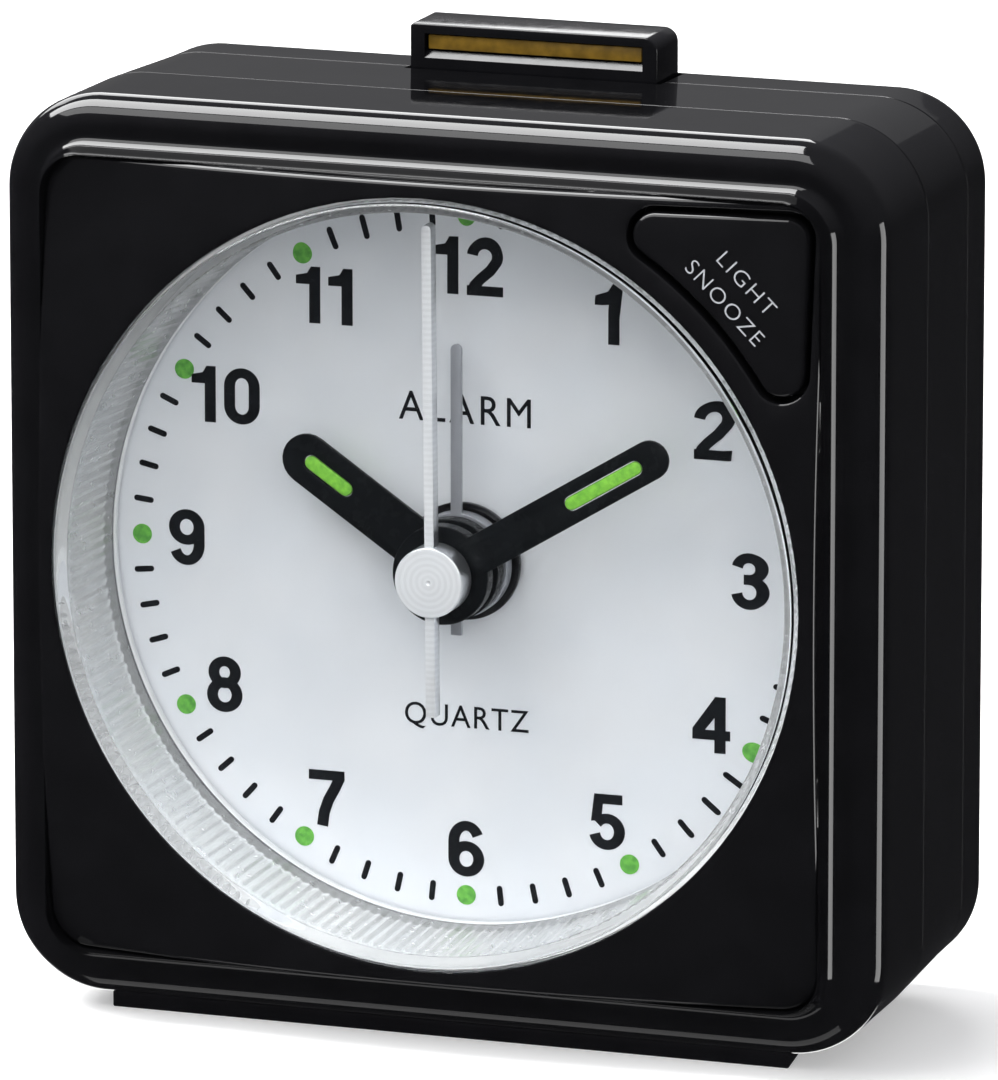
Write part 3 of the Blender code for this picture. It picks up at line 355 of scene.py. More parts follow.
# ---------------------------------------------------------------- finishes
def principled(name, metallic=0.0, ior=1.5):
    material = bpy.data.materials.new(name)
    material.use_nodes = True
    shader = material.node_tree.nodes["Principled BSDF"]
    shader.inputs["Metallic"].default_value = metallic
    shader.inputs["IOR"].default_value = ior
    return material, material.node_tree, shader


def noise(tree, per_mm, detail=2.0):
    """Noise over the piece: per_mm is the number of features in a millimetre."""
    coordinates = tree.nodes.new("ShaderNodeTexCoord")
    texture = tree.nodes.new("ShaderNodeTexNoise")
    texture.inputs["Scale"].default_value = per_mm / MM
    texture.inputs["Detail"].default_value = detail
    tree.links.new(coordinates.outputs["Object"], texture.inputs["Vector"])
    return texture.outputs["Fac"]


def ranged(tree, factor, low, high, start=0.3, end=0.7):
    """A value that runs from low to high as the factor runs from start to end."""
    spread = tree.nodes.new("ShaderNodeMapRange")
    spread.inputs["From Min"].default_value = start
    spread.inputs["From Max"].default_value = end
    spread.inputs["To Min"].default_value = low
    spread.inputs["To Max"].default_value = high
    tree.links.new(factor, spread.inputs["Value"])
    return spread.outputs["Result"]


def colour_ramp(tree, factor, stops, interpolation="LINEAR"):
    """A colour that passes through (position, colour) stops as the factor grows."""
    ramp = tree.nodes.new("ShaderNodeValToRGB")
    elements = ramp.color_ramp.elements
    ramp.color_ramp.interpolation = interpolation
    for _ in stops[2:]:
        elements.new(1.0)
    for element, (position, colour) in zip(elements, stops):
        element.position = position
        element.color = (*colour, 1)
    tree.links.new(factor, ramp.inputs["Fac"])
    return ramp.outputs["Color"]


def blended(tree, factor, first, second):
    """A colour that runs from the first to the second with the factor."""
    return colour_ramp(tree, factor, ((0.35, first), (0.65, second)))


def relief(tree, shader, factor, height_mm):
    bump = tree.nodes.new("ShaderNodeBump")
    bump.inputs["Distance"].default_value = height_mm * MM
    tree.links.new(factor, bump.inputs["Height"])
    tree.links.new(bump.outputs["Normal"], shader.inputs["Normal"])


def moulded(name, colour, roughness, grain=(6.0, 0.002), mottle=0.12, per_mm=0.4, metallic=0.0, ior=1.5):
    """Plastic, paint or metal with a mottled colour, an uneven gloss and a fine grain."""
    material, tree, shader = principled(name, metallic=metallic, ior=ior)
    light = tuple(c * (1 + mottle) for c in colour)
    dark = tuple(c * (1 - mottle) for c in colour)
    tree.links.new(blended(tree, noise(tree, per_mm, 3.0), dark, light), shader.inputs["Base Color"])
    smear = ranged(tree, noise(tree, per_mm * 3, 4.0), *roughness)
    tree.links.new(smear, shader.inputs["Roughness"])
    relief(tree, shader, noise(tree, grain[0]), grain[1])
    return material


def turned_metal(name, colour, roughness, rings_per_mm, height_mm):
    """Plated metal with fine lathe rings about the hands' axis: satin faces and mirror-bright sides."""
    material, tree, shader = principled(name)
    geometry = tree.nodes.new("ShaderNodeNewGeometry")
    facing = tree.nodes.new("ShaderNodeSeparateXYZ")
    tree.links.new(geometry.outputs["Normal"], facing.inputs["Vector"])
    mirror = ranged(tree, facing.outputs["Y"], 0.3, 1.0, -0.97, -0.7)
    tree.links.new(mirror, shader.inputs["Metallic"])
    coordinates = tree.nodes.new("ShaderNodeTexCoord")
    centred = tree.nodes.new("ShaderNodeMapping")
    centred.inputs["Location"].default_value = (0, 0, -ORIGIN.z)
    flatten = tree.nodes.new("ShaderNodeMapping")
    flatten.inputs["Scale"].default_value = (1, 0, 1)
    rings = tree.nodes.new("ShaderNodeTexWave")
    rings.wave_type = "RINGS"
    rings.rings_direction = "SPHERICAL"
    rings.inputs["Scale"].default_value = rings_per_mm / MM / 6
    rings.inputs["Distortion"].default_value = 0.6
    tree.links.new(coordinates.outputs["Object"], centred.inputs["Vector"])
    tree.links.new(centred.outputs["Vector"], flatten.inputs["Vector"])
    tree.links.new(flatten.outputs["Vector"], rings.inputs["Vector"])
    dark = tuple(c * 0.93 for c in colour)
    tree.links.new(blended(tree, rings.outputs["Fac"], dark, colour), shader.inputs["Base Color"])
    tree.links.new(ranged(tree, noise(tree, 2.0), *roughness), shader.inputs["Roughness"])
    relief(tree, shader, rings.outputs["Fac"], height_mm)
    return material


def clear_plastic(name, roughness, clearness=1.0):
    material, tree, shader = principled(name, ior=1.49)
    shader.inputs["Transmission Weight"].default_value = clearness
    tree.links.new(
        blended(tree, noise(tree, 0.2), (0.96, 0.98, 0.99), (0.99, 1.0, 1.0)), shader.inputs["Base Color"]
    )
    tree.links.new(ranged(tree, noise(tree, 1.5), *roughness), shader.inputs["Roughness"])
    return material


def glow_paint(name, rim, core, roughness):
    """Luminous paint: slightly granular, with pale and deep patches."""
    material, tree, shader = principled(name)
    tree.links.new(blended(tree, noise(tree, 2.5, 4.0), rim, core), shader.inputs["Base Color"])
    tree.links.new(ranged(tree, noise(tree, 6.0), *roughness), shader.inputs["Roughness"])
    relief(tree, shader, noise(tree, 12.0), 0.01)
    return material


# Each finish: colour, roughness, (grain per mm, its height), mottle, patches per mm, metallic and IOR.
MOULDED = {
    "gloss_black": ((0.0035, 0.0035, 0.004), (0.03, 0.07), (1.2, 0.0003)),
    "satin_black": ((0.005, 0.005, 0.006), (0.12, 0.2), (9.0, 0.001)),
    "dial_silver": ((0.79, 0.81, 0.845), (0.34, 0.44), (10.0, 0.001), 0.015, 0.3, 0.15),
    "white_plastic": ((0.78, 0.79, 0.80), (0.3, 0.45), (5.0, 0.002), 0.03),
    "hand_black": ((0.006, 0.007, 0.008), (0.22, 0.3), (8.0, 0.001), 0.12, 0.4, 0.0, 1.2),
    "alarm_hand_grey": ((0.36, 0.37, 0.40), (0.3, 0.4), (8.0, 0.002), 0.05, 0.5, 0.5),
    "amber": ((0.20, 0.115, 0.012), (0.3, 0.42), (5.0, 0.004), 0.25, 1.2),
    "gear_white": ((0.72, 0.72, 0.67), (0.35, 0.5)),
    "brass": ((0.72, 0.50, 0.20), (0.22, 0.38), (12.0, 0.002), 0.08, 0.8, 1.0),
    "movement_plastic": ((0.05, 0.055, 0.06), (0.4, 0.55), (5.0, 0.006)),
    "soft_iron": ((0.42, 0.42, 0.43), (0.3, 0.45), (8.0, 0.003), 0.08, 0.8, 1.0),
    "magnet": ((0.10, 0.10, 0.11), (0.4, 0.55), (8.0, 0.005), 0.1, 0.8, 0.5),
    "board_green": ((0.015, 0.12, 0.04), (0.25, 0.4), (4.0, 0.003), 0.2, 1.5),
    "epoxy_black": ((0.006, 0.006, 0.006), (0.15, 0.3), (1.5, 0.01)),
    "steel": ((0.58, 0.58, 0.59), (0.2, 0.35), (10.0, 0.002), 0.06, 0.8, 1.0),
    "led_clear": ((0.85, 0.83, 0.75), (0.05, 0.12), (1.0, 0.001), 0.03),
    "wire_red": ((0.40, 0.012, 0.012), (0.35, 0.5)),
    "wire_black": ((0.012, 0.012, 0.012), (0.35, 0.5)),
    "ink_black": ((0.007, 0.008, 0.010), (0.4, 0.55), (12.0, 0.001), 0.2, 1.0, 0.0, 1.2),
    "ink_white": ((0.30, 0.31, 0.33), (0.4, 0.5), (12.0, 0.001), 0.08, 2.0),
}


def make_finishes():
    """One material for each of the record's slots, and the dial's inks."""
    finishes = {name: moulded(name, *values) for name, values in MOULDED.items()}
    finishes["clear_plastic"] = clear_plastic("clear_plastic", (0.0, 0.02))
    finishes["hazy_plastic"] = clear_plastic("hazy_plastic", (0.2, 0.28), 0.75)
    finishes["lume_green"] = glow_paint("lume_green", (0.14, 0.42, 0.04), (0.24, 0.60, 0.06), (0.35, 0.55))
    finishes["ink_green"] = glow_paint("ink_green", (0.075, 0.30, 0.045), (0.16, 0.50, 0.07), (0.5, 0.7))
    finishes["chrome"] = turned_metal("chrome", (0.80, 0.81, 0.83), (0.3, 0.36), 5.0, 0.001)
    finishes["copper"] = windings("copper")
    finishes["cell_label"] = cell_sleeve("cell_label")
    return finishes


def windings(name):
    """Enamelled wire: fine turns side by side along x."""
    material, tree, shader = principled(name, metallic=1.0)
    coordinates = tree.nodes.new("ShaderNodeTexCoord")
    turns = tree.nodes.new("ShaderNodeTexWave")
    turns.bands_direction = "X"
    turns.inputs["Scale"].default_value = 8.0 / MM / 6
    turns.inputs["Distortion"].default_value = 0.3
    tree.links.new(coordinates.outputs["Object"], turns.inputs["Vector"])
    colour = blended(tree, turns.outputs["Fac"], (0.28, 0.09, 0.03), (0.72, 0.30, 0.12))
    tree.links.new(colour, shader.inputs["Base Color"])
    tree.links.new(ranged(tree, noise(tree, 3.0), 0.25, 0.4), shader.inputs["Roughness"])
    relief(tree, shader, turns.outputs["Fac"], 0.03)
    return material


def cell_sleeve(name):
    """Printed sleeve in two colours, with the bare steel cap at the positive end."""
    material, tree, shader = principled(name)
    coordinates = tree.nodes.new("ShaderNodeTexCoord")
    split = tree.nodes.new("ShaderNodeSeparateXYZ")
    tree.links.new(coordinates.outputs["Object"], split.inputs["Vector"])
    x, _, _ = span("battery_cell")
    along = ranged(tree, split.outputs["X"], 0.0, 1.0, x[0] * MM, x[1] * MM)
    bands = ((0.0, (0.03, 0.05, 0.09)), (0.66, (0.45, 0.30, 0.06)), (0.93, (0.55, 0.55, 0.55)))
    tree.links.new(colour_ramp(tree, along, bands, "CONSTANT"), shader.inputs["Base Color"])
    tree.links.new(ranged(tree, noise(tree, 2.0), 0.2, 0.35), shader.inputs["Roughness"])
    relief(tree, shader, noise(tree, 4.0), 0.002)
    return material


# ---------------------------------------------------------------- studio
CAMERA_AZIMUTH = 19.4
CAMERA_ELEVATION = 12.9
CAMERA_DISTANCE = 740.0
CAMERA_LENS = 400.3
AIM_RIGHT = 1.87                  # the aim, to the right of and above the dial's centre in the view
AIM_UP = 1.085


def make_camera():
    a, e = radians(CAMERA_AZIMUTH), radians(CAMERA_ELEVATION)
    back = Vector((sin(a) * cos(e), -cos(a) * cos(e), sin(e)))
    right = Vector((cos(a), sin(a), 0))
    up = back.cross(right)
    aim = ORIGIN + (right * AIM_RIGHT + up * AIM_UP) * MM
    data = bpy.data.cameras.new("camera")
    data.lens = CAMERA_LENS
    data.clip_start = 0.05
    data.clip_end = 20
    camera = bpy.data.objects.new("camera", data)
    camera.location = aim + back * CAMERA_DISTANCE * MM
    camera.rotation_mode = "QUATERNION"
    camera.rotation_quaternion = (-back).to_track_quat("-Z", "Y")
    bpy.context.scene.collection.objects.link(camera)
    bpy.context.scene.camera = camera


def softbox(name, azimuth, elevation, distance, size, radiance):
    """A rectangular lamp that faces the object; azimuth 0 is in front of the dial and 90 to its right."""
    a, e = radians(azimuth), radians(elevation)
    out = Vector((sin(a) * cos(e), -cos(a) * cos(e), sin(e)))
    return place_lamp(name, out * distance, (-out).to_track_quat("-Z", "Y"), size, radiance)


def ceiling_panel(name, x, y, height, size, radiance):
    """A level lamp above the object."""
    place_lamp(name, Vector((x, y, height)), Vector((0, 0, -1)).to_track_quat("-Z", "Y"), size, radiance)


def place_lamp(name, offset, rotation, size, radiance):
    data = bpy.data.lights.new(name, "AREA")
    data.shape = "RECTANGLE"
    data.size, data.size_y = size
    data.energy = radiance * pi * size[0] * size[1]
    lamp = bpy.data.objects.new(name, data)
    lamp.location = ORIGIN + offset
    lamp.rotation_mode = "QUATERNION"
    lamp.rotation_quaternion = rotation
    lamp.visible_camera = False
    bpy.context.scene.collection.objects.link(lamp)
    return lamp


def make_world(scene):
    """Plain white where the camera looks past the object, and a dim grey dome for everything else."""
    world = bpy.data.worlds.new("studio")
    scene.world = world
    world.use_nodes = True
    tree = world.node_tree
    link = tree.links.new
    seen = tree.nodes["Background"]
    seen.inputs["Color"].default_value = (1, 1, 1, 1)
    seen.inputs["Strength"].default_value = 1.0
    around = tree.nodes.new("ShaderNodeBackground")
    coordinates = tree.nodes.new("ShaderNodeTexCoord")
    split = tree.nodes.new("ShaderNodeSeparateXYZ")
    rays = tree.nodes.new("ShaderNodeLightPath")
    choose = tree.nodes.new("ShaderNodeMixShader")
    link(coordinates.outputs["Generated"], split.inputs["Vector"])
    height = ranged(tree, split.outputs["Z"], 0.0, 1.0, -1.0, 1.0)
    low, high = (0.45, (0.025, 0.025, 0.027)), (0.9, (0.22, 0.22, 0.24))
    link(colour_ramp(tree, height, (low, high)), around.inputs["Color"])
    link(rays.outputs["Is Camera Ray"], choose.inputs["Fac"])
    link(around.outputs["Background"], choose.inputs[1])
    link(seen.outputs["Background"], choose.inputs[2])
    link(choose.outputs["Shader"], tree.nodes["World Output"].inputs["Surface"])


def make_lamps():
    ceiling_panel("top_box", -0.39, -0.04, 0.5, (0.7, 0.3), 12.0)
    ceiling_panel("front_box", -0.3, -0.41, 0.5, (0.6, 0.38), 3.5)
    softbox("back_box", 216, 33, 0.6, (0.5, 0.24), 4.5)
    softbox("back_card", 206, 8, 0.7, (0.85, 0.3), 0.09)
    softbox("right_strip", 98, -9, 0.5, (0.2, 0.33), 4.5)
    softbox("under_box", 203, -35, 0.6, (0.5, 0.16), 3.0)
    softbox("low_box", -15, -70, 0.6, (0.5, 0.25), 0.9)
    fill = softbox("fill", 25, 24, 0.7, (0.9, 0.7), 1.95)
    fill.visible_glossy = False      # lights the dial and is not mirrored in the black shell


def make_floor(scene):
    """Level pale floor; it is kept out of mirrored and refracted rays, so that it does not veil the dial."""
    bm = bmesh.new()
    bmesh.ops.create_grid(bm, x_segments=1, y_segments=1, size=4.0)
    mesh = bpy.data.meshes.new("floor")
    bm.to_mesh(mesh)
    bm.free()
    floor = bpy.data.objects.new("floor", mesh)
    mesh.materials.append(moulded("floor", (0.9, 0.9, 0.9), (0.5, 0.6), (1.0, 0.0001), 0.01, 0.01))
    shader = mesh.materials[0].node_tree.nodes["Principled BSDF"]
    shader.inputs["Emission Color"].default_value = (1, 1, 1, 1)
    shader.inputs["Emission Strength"].default_value = 0.35
    floor.visible_glossy = False
    floor.visible_transmission = False
    scene.collection.objects.link(floor)


def make_studio():
    scene = bpy.context.scene
    scene.view_settings.view_transform = "Standard"
    make_world(scene)
    make_lamps()
    make_floor(scene)


# ---------------------------------------------------------------- case shells
def make_front_case(material):
    """Domed panel, steep step, narrow shoulder, rounded outer edge and straight sides."""
    side_front = SHOULDER_DEPTH + SHOULDER_FILLET
    rim = 0.1
    rings = [
        case_ring(rim + SEAM_EDGE * (1 - sin(t)), SEAM_ONE - SEAM_EDGE * (1 - cos(t))) for t in quarter(4)
    ]
    rings += [case_ring(rim, SEAM_ONE - FLAT_EDGE), case_ring(0.0, side_front + FLAT_EDGE)]
    rings += [
        case_ring(SHOULDER_FILLET * (1 - cos(t)), side_front - SHOULDER_FILLET * sin(t)) for t in quarter(18)
    ]
    cove = (0.95, 1.9)               # the step's concave foot, across and in depth
    foot_half = PANEL_HALF + 0.1 + cove[0]
    for t in quarter(16):
        half = foot_half - cove[0] * sin(t)
        outline = rounded_square(half, PANEL_CORNER + half - PANEL_HALF)
        rings.append(at_depth(outline, SHOULDER_DEPTH - cove[1] * (1 - cos(t))))
    edge = 0.35                      # rounding of the panel's edge
    wall_top = PANEL_HALF + 0.05
    wall_foot, wall_head = rings[-1], panel_ring(wall_top, edge)
    for share in (0.25, 0.5, 0.75):
        rings.append([tuple(a + (b - a) * share for a, b in zip(p, q)) for p, q in zip(wall_foot, wall_head)])
    rings += [panel_ring(wall_top - edge * (1 - cos(t)), edge * (1 - sin(t))) for t in quarter(8)]
    lip = 0.15
    outer, inner = rings[-1], lens_ring(CRYSTAL_HOLE + lip, 0)
    rings += [between(outer, inner, i / 14) for i in range(1, 15)]
    rings += [lens_ring(CRYSTAL_HOLE + lip * (1 - sin(t)), lip * (1 - cos(t))) for t in quarter(4)[1:]]
    tube_rear, tube_outer = -1.9, 25.7
    panel_inner = SHOULDER_DEPTH + WALL
    rings += [
        lens_ring(CRYSTAL_HOLE, depth=tube_rear),
        lens_ring(tube_outer, depth=tube_rear),
        lens_ring(tube_outer, depth=panel_inner),
        case_ring(WALL, panel_inner),
        case_ring(WALL + rim, SEAM_ONE),
    ]
    case = solid("front_shell", loft(rings, closed=True), material)

    shape(case, front_steps(panel_inner))
    dress(case, "case", "gloss_black", "front_case")


def front_steps(panel_inner):
    """The corner button's opening with its rolled edge, and the two screw posts."""
    pocket = corner_outline(0.35)
    opening = [
        at_depth(corner_outline(0.16), CRYSTAL_FRONT - 3),
        on_dome(corner_outline(0.16), 0.0),
        on_dome(corner_outline(0.07), 0.04),
        on_dome(corner_outline(0.02), 0.11),
        on_dome(corner_outline(0.0), 0.24),
        at_depth(corner_outline(0.0), SNOOZE_STOP + 0.5),
    ]
    steps = [
        cut(prism(pocket, SNOOZE_STOP, panel_inner + 0.5)),
        cut(loft(opening)),
    ]
    for number, post_front in ((1, SNOOZE_STOP - 0.4), (2, panel_inner + 0.8)):
        x, z = middle(f"case_screw_{number}")
        steps.append(add(tube(POST_BORE, POST_RADIUS, post_front, POST_REAR, 32, (x, z))))
    return steps


def taper_half(depth):
    """Half-size of the outside behind the first seam."""
    return CASE_HALF - 0.1 - 0.55 * (depth - SEAM_ONE) / (REAR_FACE - SEAM_ONE)


def shell_ring(half, corner, depth):
    return at_depth(rounded_square(half, corner, ARC_STEPS, 1), depth)


def front_edge(front, corner):
    """Rings of a shell's rounded front edge, which faces a seam."""
    rings = [
        shell_ring(taper_half(front) - SEAM_EDGE * (1 - sin(t)), corner, front + SEAM_EDGE * (1 - cos(t)))
        for t in quarter(4)
    ]
    return rings + [shell_ring(taper_half(front + FLAT_EDGE), corner, front + FLAT_EDGE)]


def button_slot(depths):
    x, _, _ = span("alarm_button_amber_strip")
    half = x[1] + 1.4
    return box((-half, half), depths, (CASE_HALF - 4.0, CASE_HALF + 2.0))


def make_middle_case(material):
    front = SEAM_ONE + SEAM_LINE
    lip_front = SEAM_ONE - 1.2
    lip_outer = CASE_HALF - WALL - 0.4
    lip_inner = lip_outer - 0.7
    rings = front_edge(front, 6.0)
    rings.append(shell_ring(taper_half(SEAM_TWO - FLAT_EDGE), 5.9, SEAM_TWO - FLAT_EDGE))
    rings += [
        shell_ring(taper_half(SEAM_TWO) - SEAM_EDGE * (1 - cos(t)), 5.9, SEAM_TWO - SEAM_EDGE * (1 - sin(t)))
        for t in quarter(4)
    ]
    rings += [
        shell_ring(taper_half(SEAM_TWO) - WALL + 0.2, 4.6, SEAM_TWO),
        shell_ring(lip_inner + 0.2, 4.2, front + 1.2),
        shell_ring(lip_inner, 4.0, lip_front),
        shell_ring(lip_outer, 4.5, lip_front),
        shell_ring(lip_outer, 4.5, front),
    ]
    case = solid("middle_shell", loft(rings, closed=True), material)
    steps = []
    for number, side in ((3, -1), (4, 1)):
        x, z = middle(f"case_screw_{number}")
        web = sorted((x + side * 1.4, x + side * 4.6))
        steps.append(add(box(web, (5.0, 9.0), (z - 1, z + 1))))
        steps.append(add(tube(POST_BORE, POST_RADIUS - 0.1, 4.8, POST_REAR, 32, (x, z))))
    slot_front = span("alarm_button")[1][0] + 0.5 - SEAM_GAP
    steps.append(cut(button_slot((slot_front, SEAM_TWO + 1.0))))
    shape(case, steps)
    dress(case, "case", "gloss_black", "middle_case")


def make_rear_cover(material):
    front = SEAM_TWO + SEAM_LINE
    fillet = 1.6
    rear_half = taper_half(REAR_FACE)
    side_rear = REAR_FACE - fillet
    rings = front_edge(front, 5.9)
    side_half, corner = rear_half + 0.08, 5.7
    rings.append(shell_ring(side_half, corner, side_rear - FLAT_EDGE))
    for t in quarter(12):
        inset = fillet * (1 - cos(t))
        rings.append(shell_ring(side_half - inset, corner - inset, side_rear + fillet * sin(t)))
    cover = solid("rear_shell", loft(rings), material)
    inner_half = rear_half - WALL
    hollow = loft([shell_ring(inner_half + 0.1, 4.4, front - 1.0), shell_ring(inner_half, 4.3, REAR_INNER)])
    button_rear = span("alarm_button")[1][1] + SEAM_GAP
    slot = cut(button_slot((front - 1.0, button_rear)))
    shape(cover, [cut(hollow), *bay_steps(), *cover_hole_steps(), slot])
    dress(cover, "case", "gloss_black", "rear_cover")


def bay_steps():
    """Battery bay: its box, its opening, the ledge round the door and the slots for the contacts."""
    bay_outer = BAY_X + BAY_WALL
    bay_z = (BAY_Z[0] - 0.5, BAY_Z[1] + BAY_WALL)
    bay = rounded_box((-bay_outer, bay_outer), bay_z, BAY_CORNER + BAY_WALL)
    opening = (-DOOR_OPENING_X, DOOR_OPENING_X)
    ledge_x = DOOR_OPENING_X + DOOR_LEDGE
    ledge = rounded_box((-ledge_x, ledge_x), (BAY_Z[0] - 0.6, BAY_Z[1] + DOOR_LEDGE), 1.2)
    steps = [
        add(prism(bay, BAY_FLOOR - BAY_WALL, REAR_INNER + 0.6)),
        cut(prism(rounded_box((-BAY_X, BAY_X), BAY_Z, BAY_CORNER), BAY_FLOOR, REAR_INNER - 0.2)),
        cut(box(opening, (REAR_INNER - 1.0, REAR_FACE + 1), BAY_Z)),
        cut(prism(ledge, REAR_FACE - 1.0, REAR_FACE + 1)),
    ]
    for side in (-1, 1):
        slot = sorted((side * 22.5, side * 23.7))
        steps.append(cut(box(slot, (6.6, 9.4), (BAY_Z[1] - 1.0, BAY_Z[1] + BAY_WALL + 0.5))))
    return steps


def cover_hole_steps():
    """Screw posts with sunk heads, holes for the knobs' stems and the sound holes."""
    steps = []
    for number in range(1, 5):
        x, _, _ = span(f"case_screw_{number}")
        head = (x[1] - x[0]) / 2
        at = middle(f"case_screw_{number}")
        steps += [
            add(rod(POST_RADIUS, POST_REAR + 0.4, REAR_INNER + 0.6, 32, at)),
            cut(rod(POST_BORE, POST_REAR - 1, REAR_FACE + 1, 32, at)),
            cut(rod(head + 0.3, REAR_FACE - 1.1, REAR_FACE + 1, 40, at)),
            cut(countersink(head + 0.3, at)),
        ]
    for knob in ("time_set_knob", "alarm_set_knob"):
        x, z = middle(knob)
        steps.append(cut(rod(1.35, REAR_INNER - 1, REAR_FACE + 1, 32, (x, z))))
    x, z = middle("piezo_buzzer")
    sound_holes = [(x, z)] + [(x + 2.6 * cos(pi / 3 * i), z + 2.6 * sin(pi / 3 * i)) for i in range(6)]
    for at in sound_holes:
        steps.append(cut(rod(0.55, REAR_INNER - 1, REAR_FACE + 1, 24, at)))
        steps.append(cut(countersink(0.55, at)))
    return steps


def countersink(radius, at, width=0.12):
    """Cutter that breaks a hole's outer edge."""
    inner = circle(radius - 0.02, REAR_FACE - width, 40, at)
    outer = circle(radius + width + 0.1, REAR_FACE + 0.1, 40, at)
    return loft([inner, outer])


def make_battery_door(material):
    x, depth, z = span("battery_door")
    plate = prism(rounded_box(x, z, 1.0), depth[1] - 0.7, depth[1])
    door = bevelled(solid("battery_lid", plate, material), 0.1)
    plug_x = DOOR_OPENING_X - 0.3
    plug = box((-plug_x, plug_x), (depth[0], depth[1] - 0.5), (BAY_Z[0] + 0.3, BAY_Z[1] - 0.3))
    steps = [add(plug)]
    notch = rounded_box((-3.2, 3.2), (z[1] - 1.6, z[1] - 0.5), 0.5)
    steps.append(cut(prism(notch, depth[1] - 0.35, depth[1] + 1)))
    shape(door, steps)
    dress(door, "battery_lid", "gloss_black", "battery_door")


def make_foot(material):
    """Wedge-topped slab with softly broken edges."""
    x, depth, z = span("foot")
    rear_half = 19.6
    gap = 0.04                       # between the foot and the case
    rings = []
    for at, half in ((depth[0], x[1]), (depth[1], rear_half)):
        top = -(CASE_HALF if at < SEAM_ONE else taper_half(at)) - gap
        rings.append([(-half, at, z[0]), (half, at, z[0]), (half, at, top), (-half, at, top)])
    foot = bevelled(solid("foot_slab", loft(rings), material), 0.12, 2)
    dress(foot, "case", "satin_black", "foot")


# ---------------------------------------------------------------- lens and dial
RIBS = 206
POINTS_PER_RIB = 6
RIB_HEIGHT = 0.13


def make_crystal(finishes):
    """Clear cap: flat plate with a bevelled edge, and a skirt whose inner side carries fine ribs."""
    count = RIBS * POINTS_PER_RIB

    def ribbed(radius, depth, height):
        ring = []
        for i in range(count):
            turn = 2 * pi * i / count
            reach = radius + height * (0.5 + 0.5 * cos(2 * pi * i / POINTS_PER_RIB))
            ring.append((reach * cos(turn), depth, reach * sin(turn)))
        return ring

    plate_rear = CRYSTAL_FRONT + CRYSTAL_PLATE
    bevel = 0.25
    flange = span("crystal")
    rings = [[(0, CRYSTAL_FRONT, 0)]]
    rings += [circle(r, CRYSTAL_FRONT, count) for r in (8, 16, 22)]
    rings += [
        circle(CRYSTAL_RADIUS - bevel * (1 - sin(t)), CRYSTAL_FRONT + bevel * (1 - cos(t)), count)
        for t in quarter(6)
    ]
    rings += [
        circle(CRYSTAL_RADIUS - 0.1, -1.6, count),
        circle(flange[0][1], -1.55, count),
        circle(flange[0][1], flange[1][1], count),
        circle(LENS_BORE, flange[1][1], count),
        ribbed(LENS_BORE, -1.15, 0.0),
    ]
    wall_rear, wall_front = (LENS_BORE, -1.3), (23.25, plate_rear + 0.12)
    for share, height in ((0, 0), (0.12, RIB_HEIGHT), (0.5, RIB_HEIGHT), (0.88, RIB_HEIGHT), (1, 0)):
        radius = wall_rear[0] + (wall_front[0] - wall_rear[0]) * share
        rings.append(ribbed(radius, wall_rear[1] + (wall_front[1] - wall_rear[1]) * share, height))
    rings += [circle(wall_front[0] - 0.05, plate_rear, count)]
    rings += [circle(r, plate_rear, count) for r in (22, 16, 8)]
    rings.append([(0, plate_rear, 0)])
    crystal = solid("lens_cap", loft(rings), finishes["clear_plastic"], 50)
    crystal.data.materials.append(finishes["hazy_plastic"])
    for face in crystal.data.polygons:
        out = (face.center - ORIGIN) / MM
        across = hypot(out.x, out.z)
        if wall_rear[0] < across < wall_front[0] + RIB_HEIGHT and plate_rear < out.y < wall_rear[1]:
            face.material_index = 1
    crystal.visible_shadow = False
    dress(crystal, "case", "clear_plastic", "crystal")


def make_lens_seat(finish):
    """White lining of the hole round the lens's skirt, and the ring the lens's flange rests on."""
    inner = CRYSTAL_RADIUS + 0.04
    lining = tube(inner, CRYSTAL_HOLE - 0.03, CRYSTAL_FRONT + 1.5, -1.7, 192)
    dress(solid("lens_seat_lining", lining, finish), "case", "white_plastic")
    gasket = tube(inner, 25.5, -1.8, -1.62, 192)
    dress(solid("lens_seat_gasket", gasket, finish), "case", "white_plastic")


def make_dial(finishes):
    x, depth, _ = span("dial")
    rim = 0.06
    hub_hole = 3.1
    profile = [
        (hub_hole, depth[0] + rim), (hub_hole + rim, depth[0]), (x[1] - rim, depth[0]),
        (x[1], depth[0] + rim), (x[1], depth[1]), (hub_hole, depth[1]),
    ]
    dial = solid("dial_plate", turned(profile, 192), finishes["dial_silver"])
    dress(dial, "case", "dial_silver", "dial")

    x, depth, _ = span("dial_ring")
    rim = 0.05
    profile = [
        (LENS_BORE, depth[1]), (LENS_BORE, depth[0] + rim), (LENS_BORE + rim, depth[0]),
        (x[1] - rim, depth[0]), (x[1], depth[0] + rim), (x[1], depth[1]),
    ]
    ring = solid("dial_flange", turned(profile, 192), finishes["white_plastic"])
    dress(ring, "case", "white_plastic", "dial_ring")

    profile = [
        (2.3, -0.55), (2.35, -0.6), (3.65, -0.6), (3.7, -0.55),
        (3.7, -0.3), (2.8, -0.3), (2.8, 0.6), (2.3, 0.6),
    ]
    bush = solid("hub_bush", turned(profile, 96), finishes["satin_black"])
    dress(bush, "case", "satin_black", "dial_bush")


# ---------------------------------------------------------------- print on the dial
INK = 0.03                       # height of printed layers
INK_SUNK = 0.01
MARK_RADIUS = 21.35
NUMERAL_RADIUS = 18.4


def clockwise(outline, degrees):
    """Turns (x, z) points clockwise, as seen from the front."""
    turn = radians(degrees)
    return [(x * cos(turn) + z * sin(turn), z * cos(turn) - x * sin(turn)) for x, z in outline]


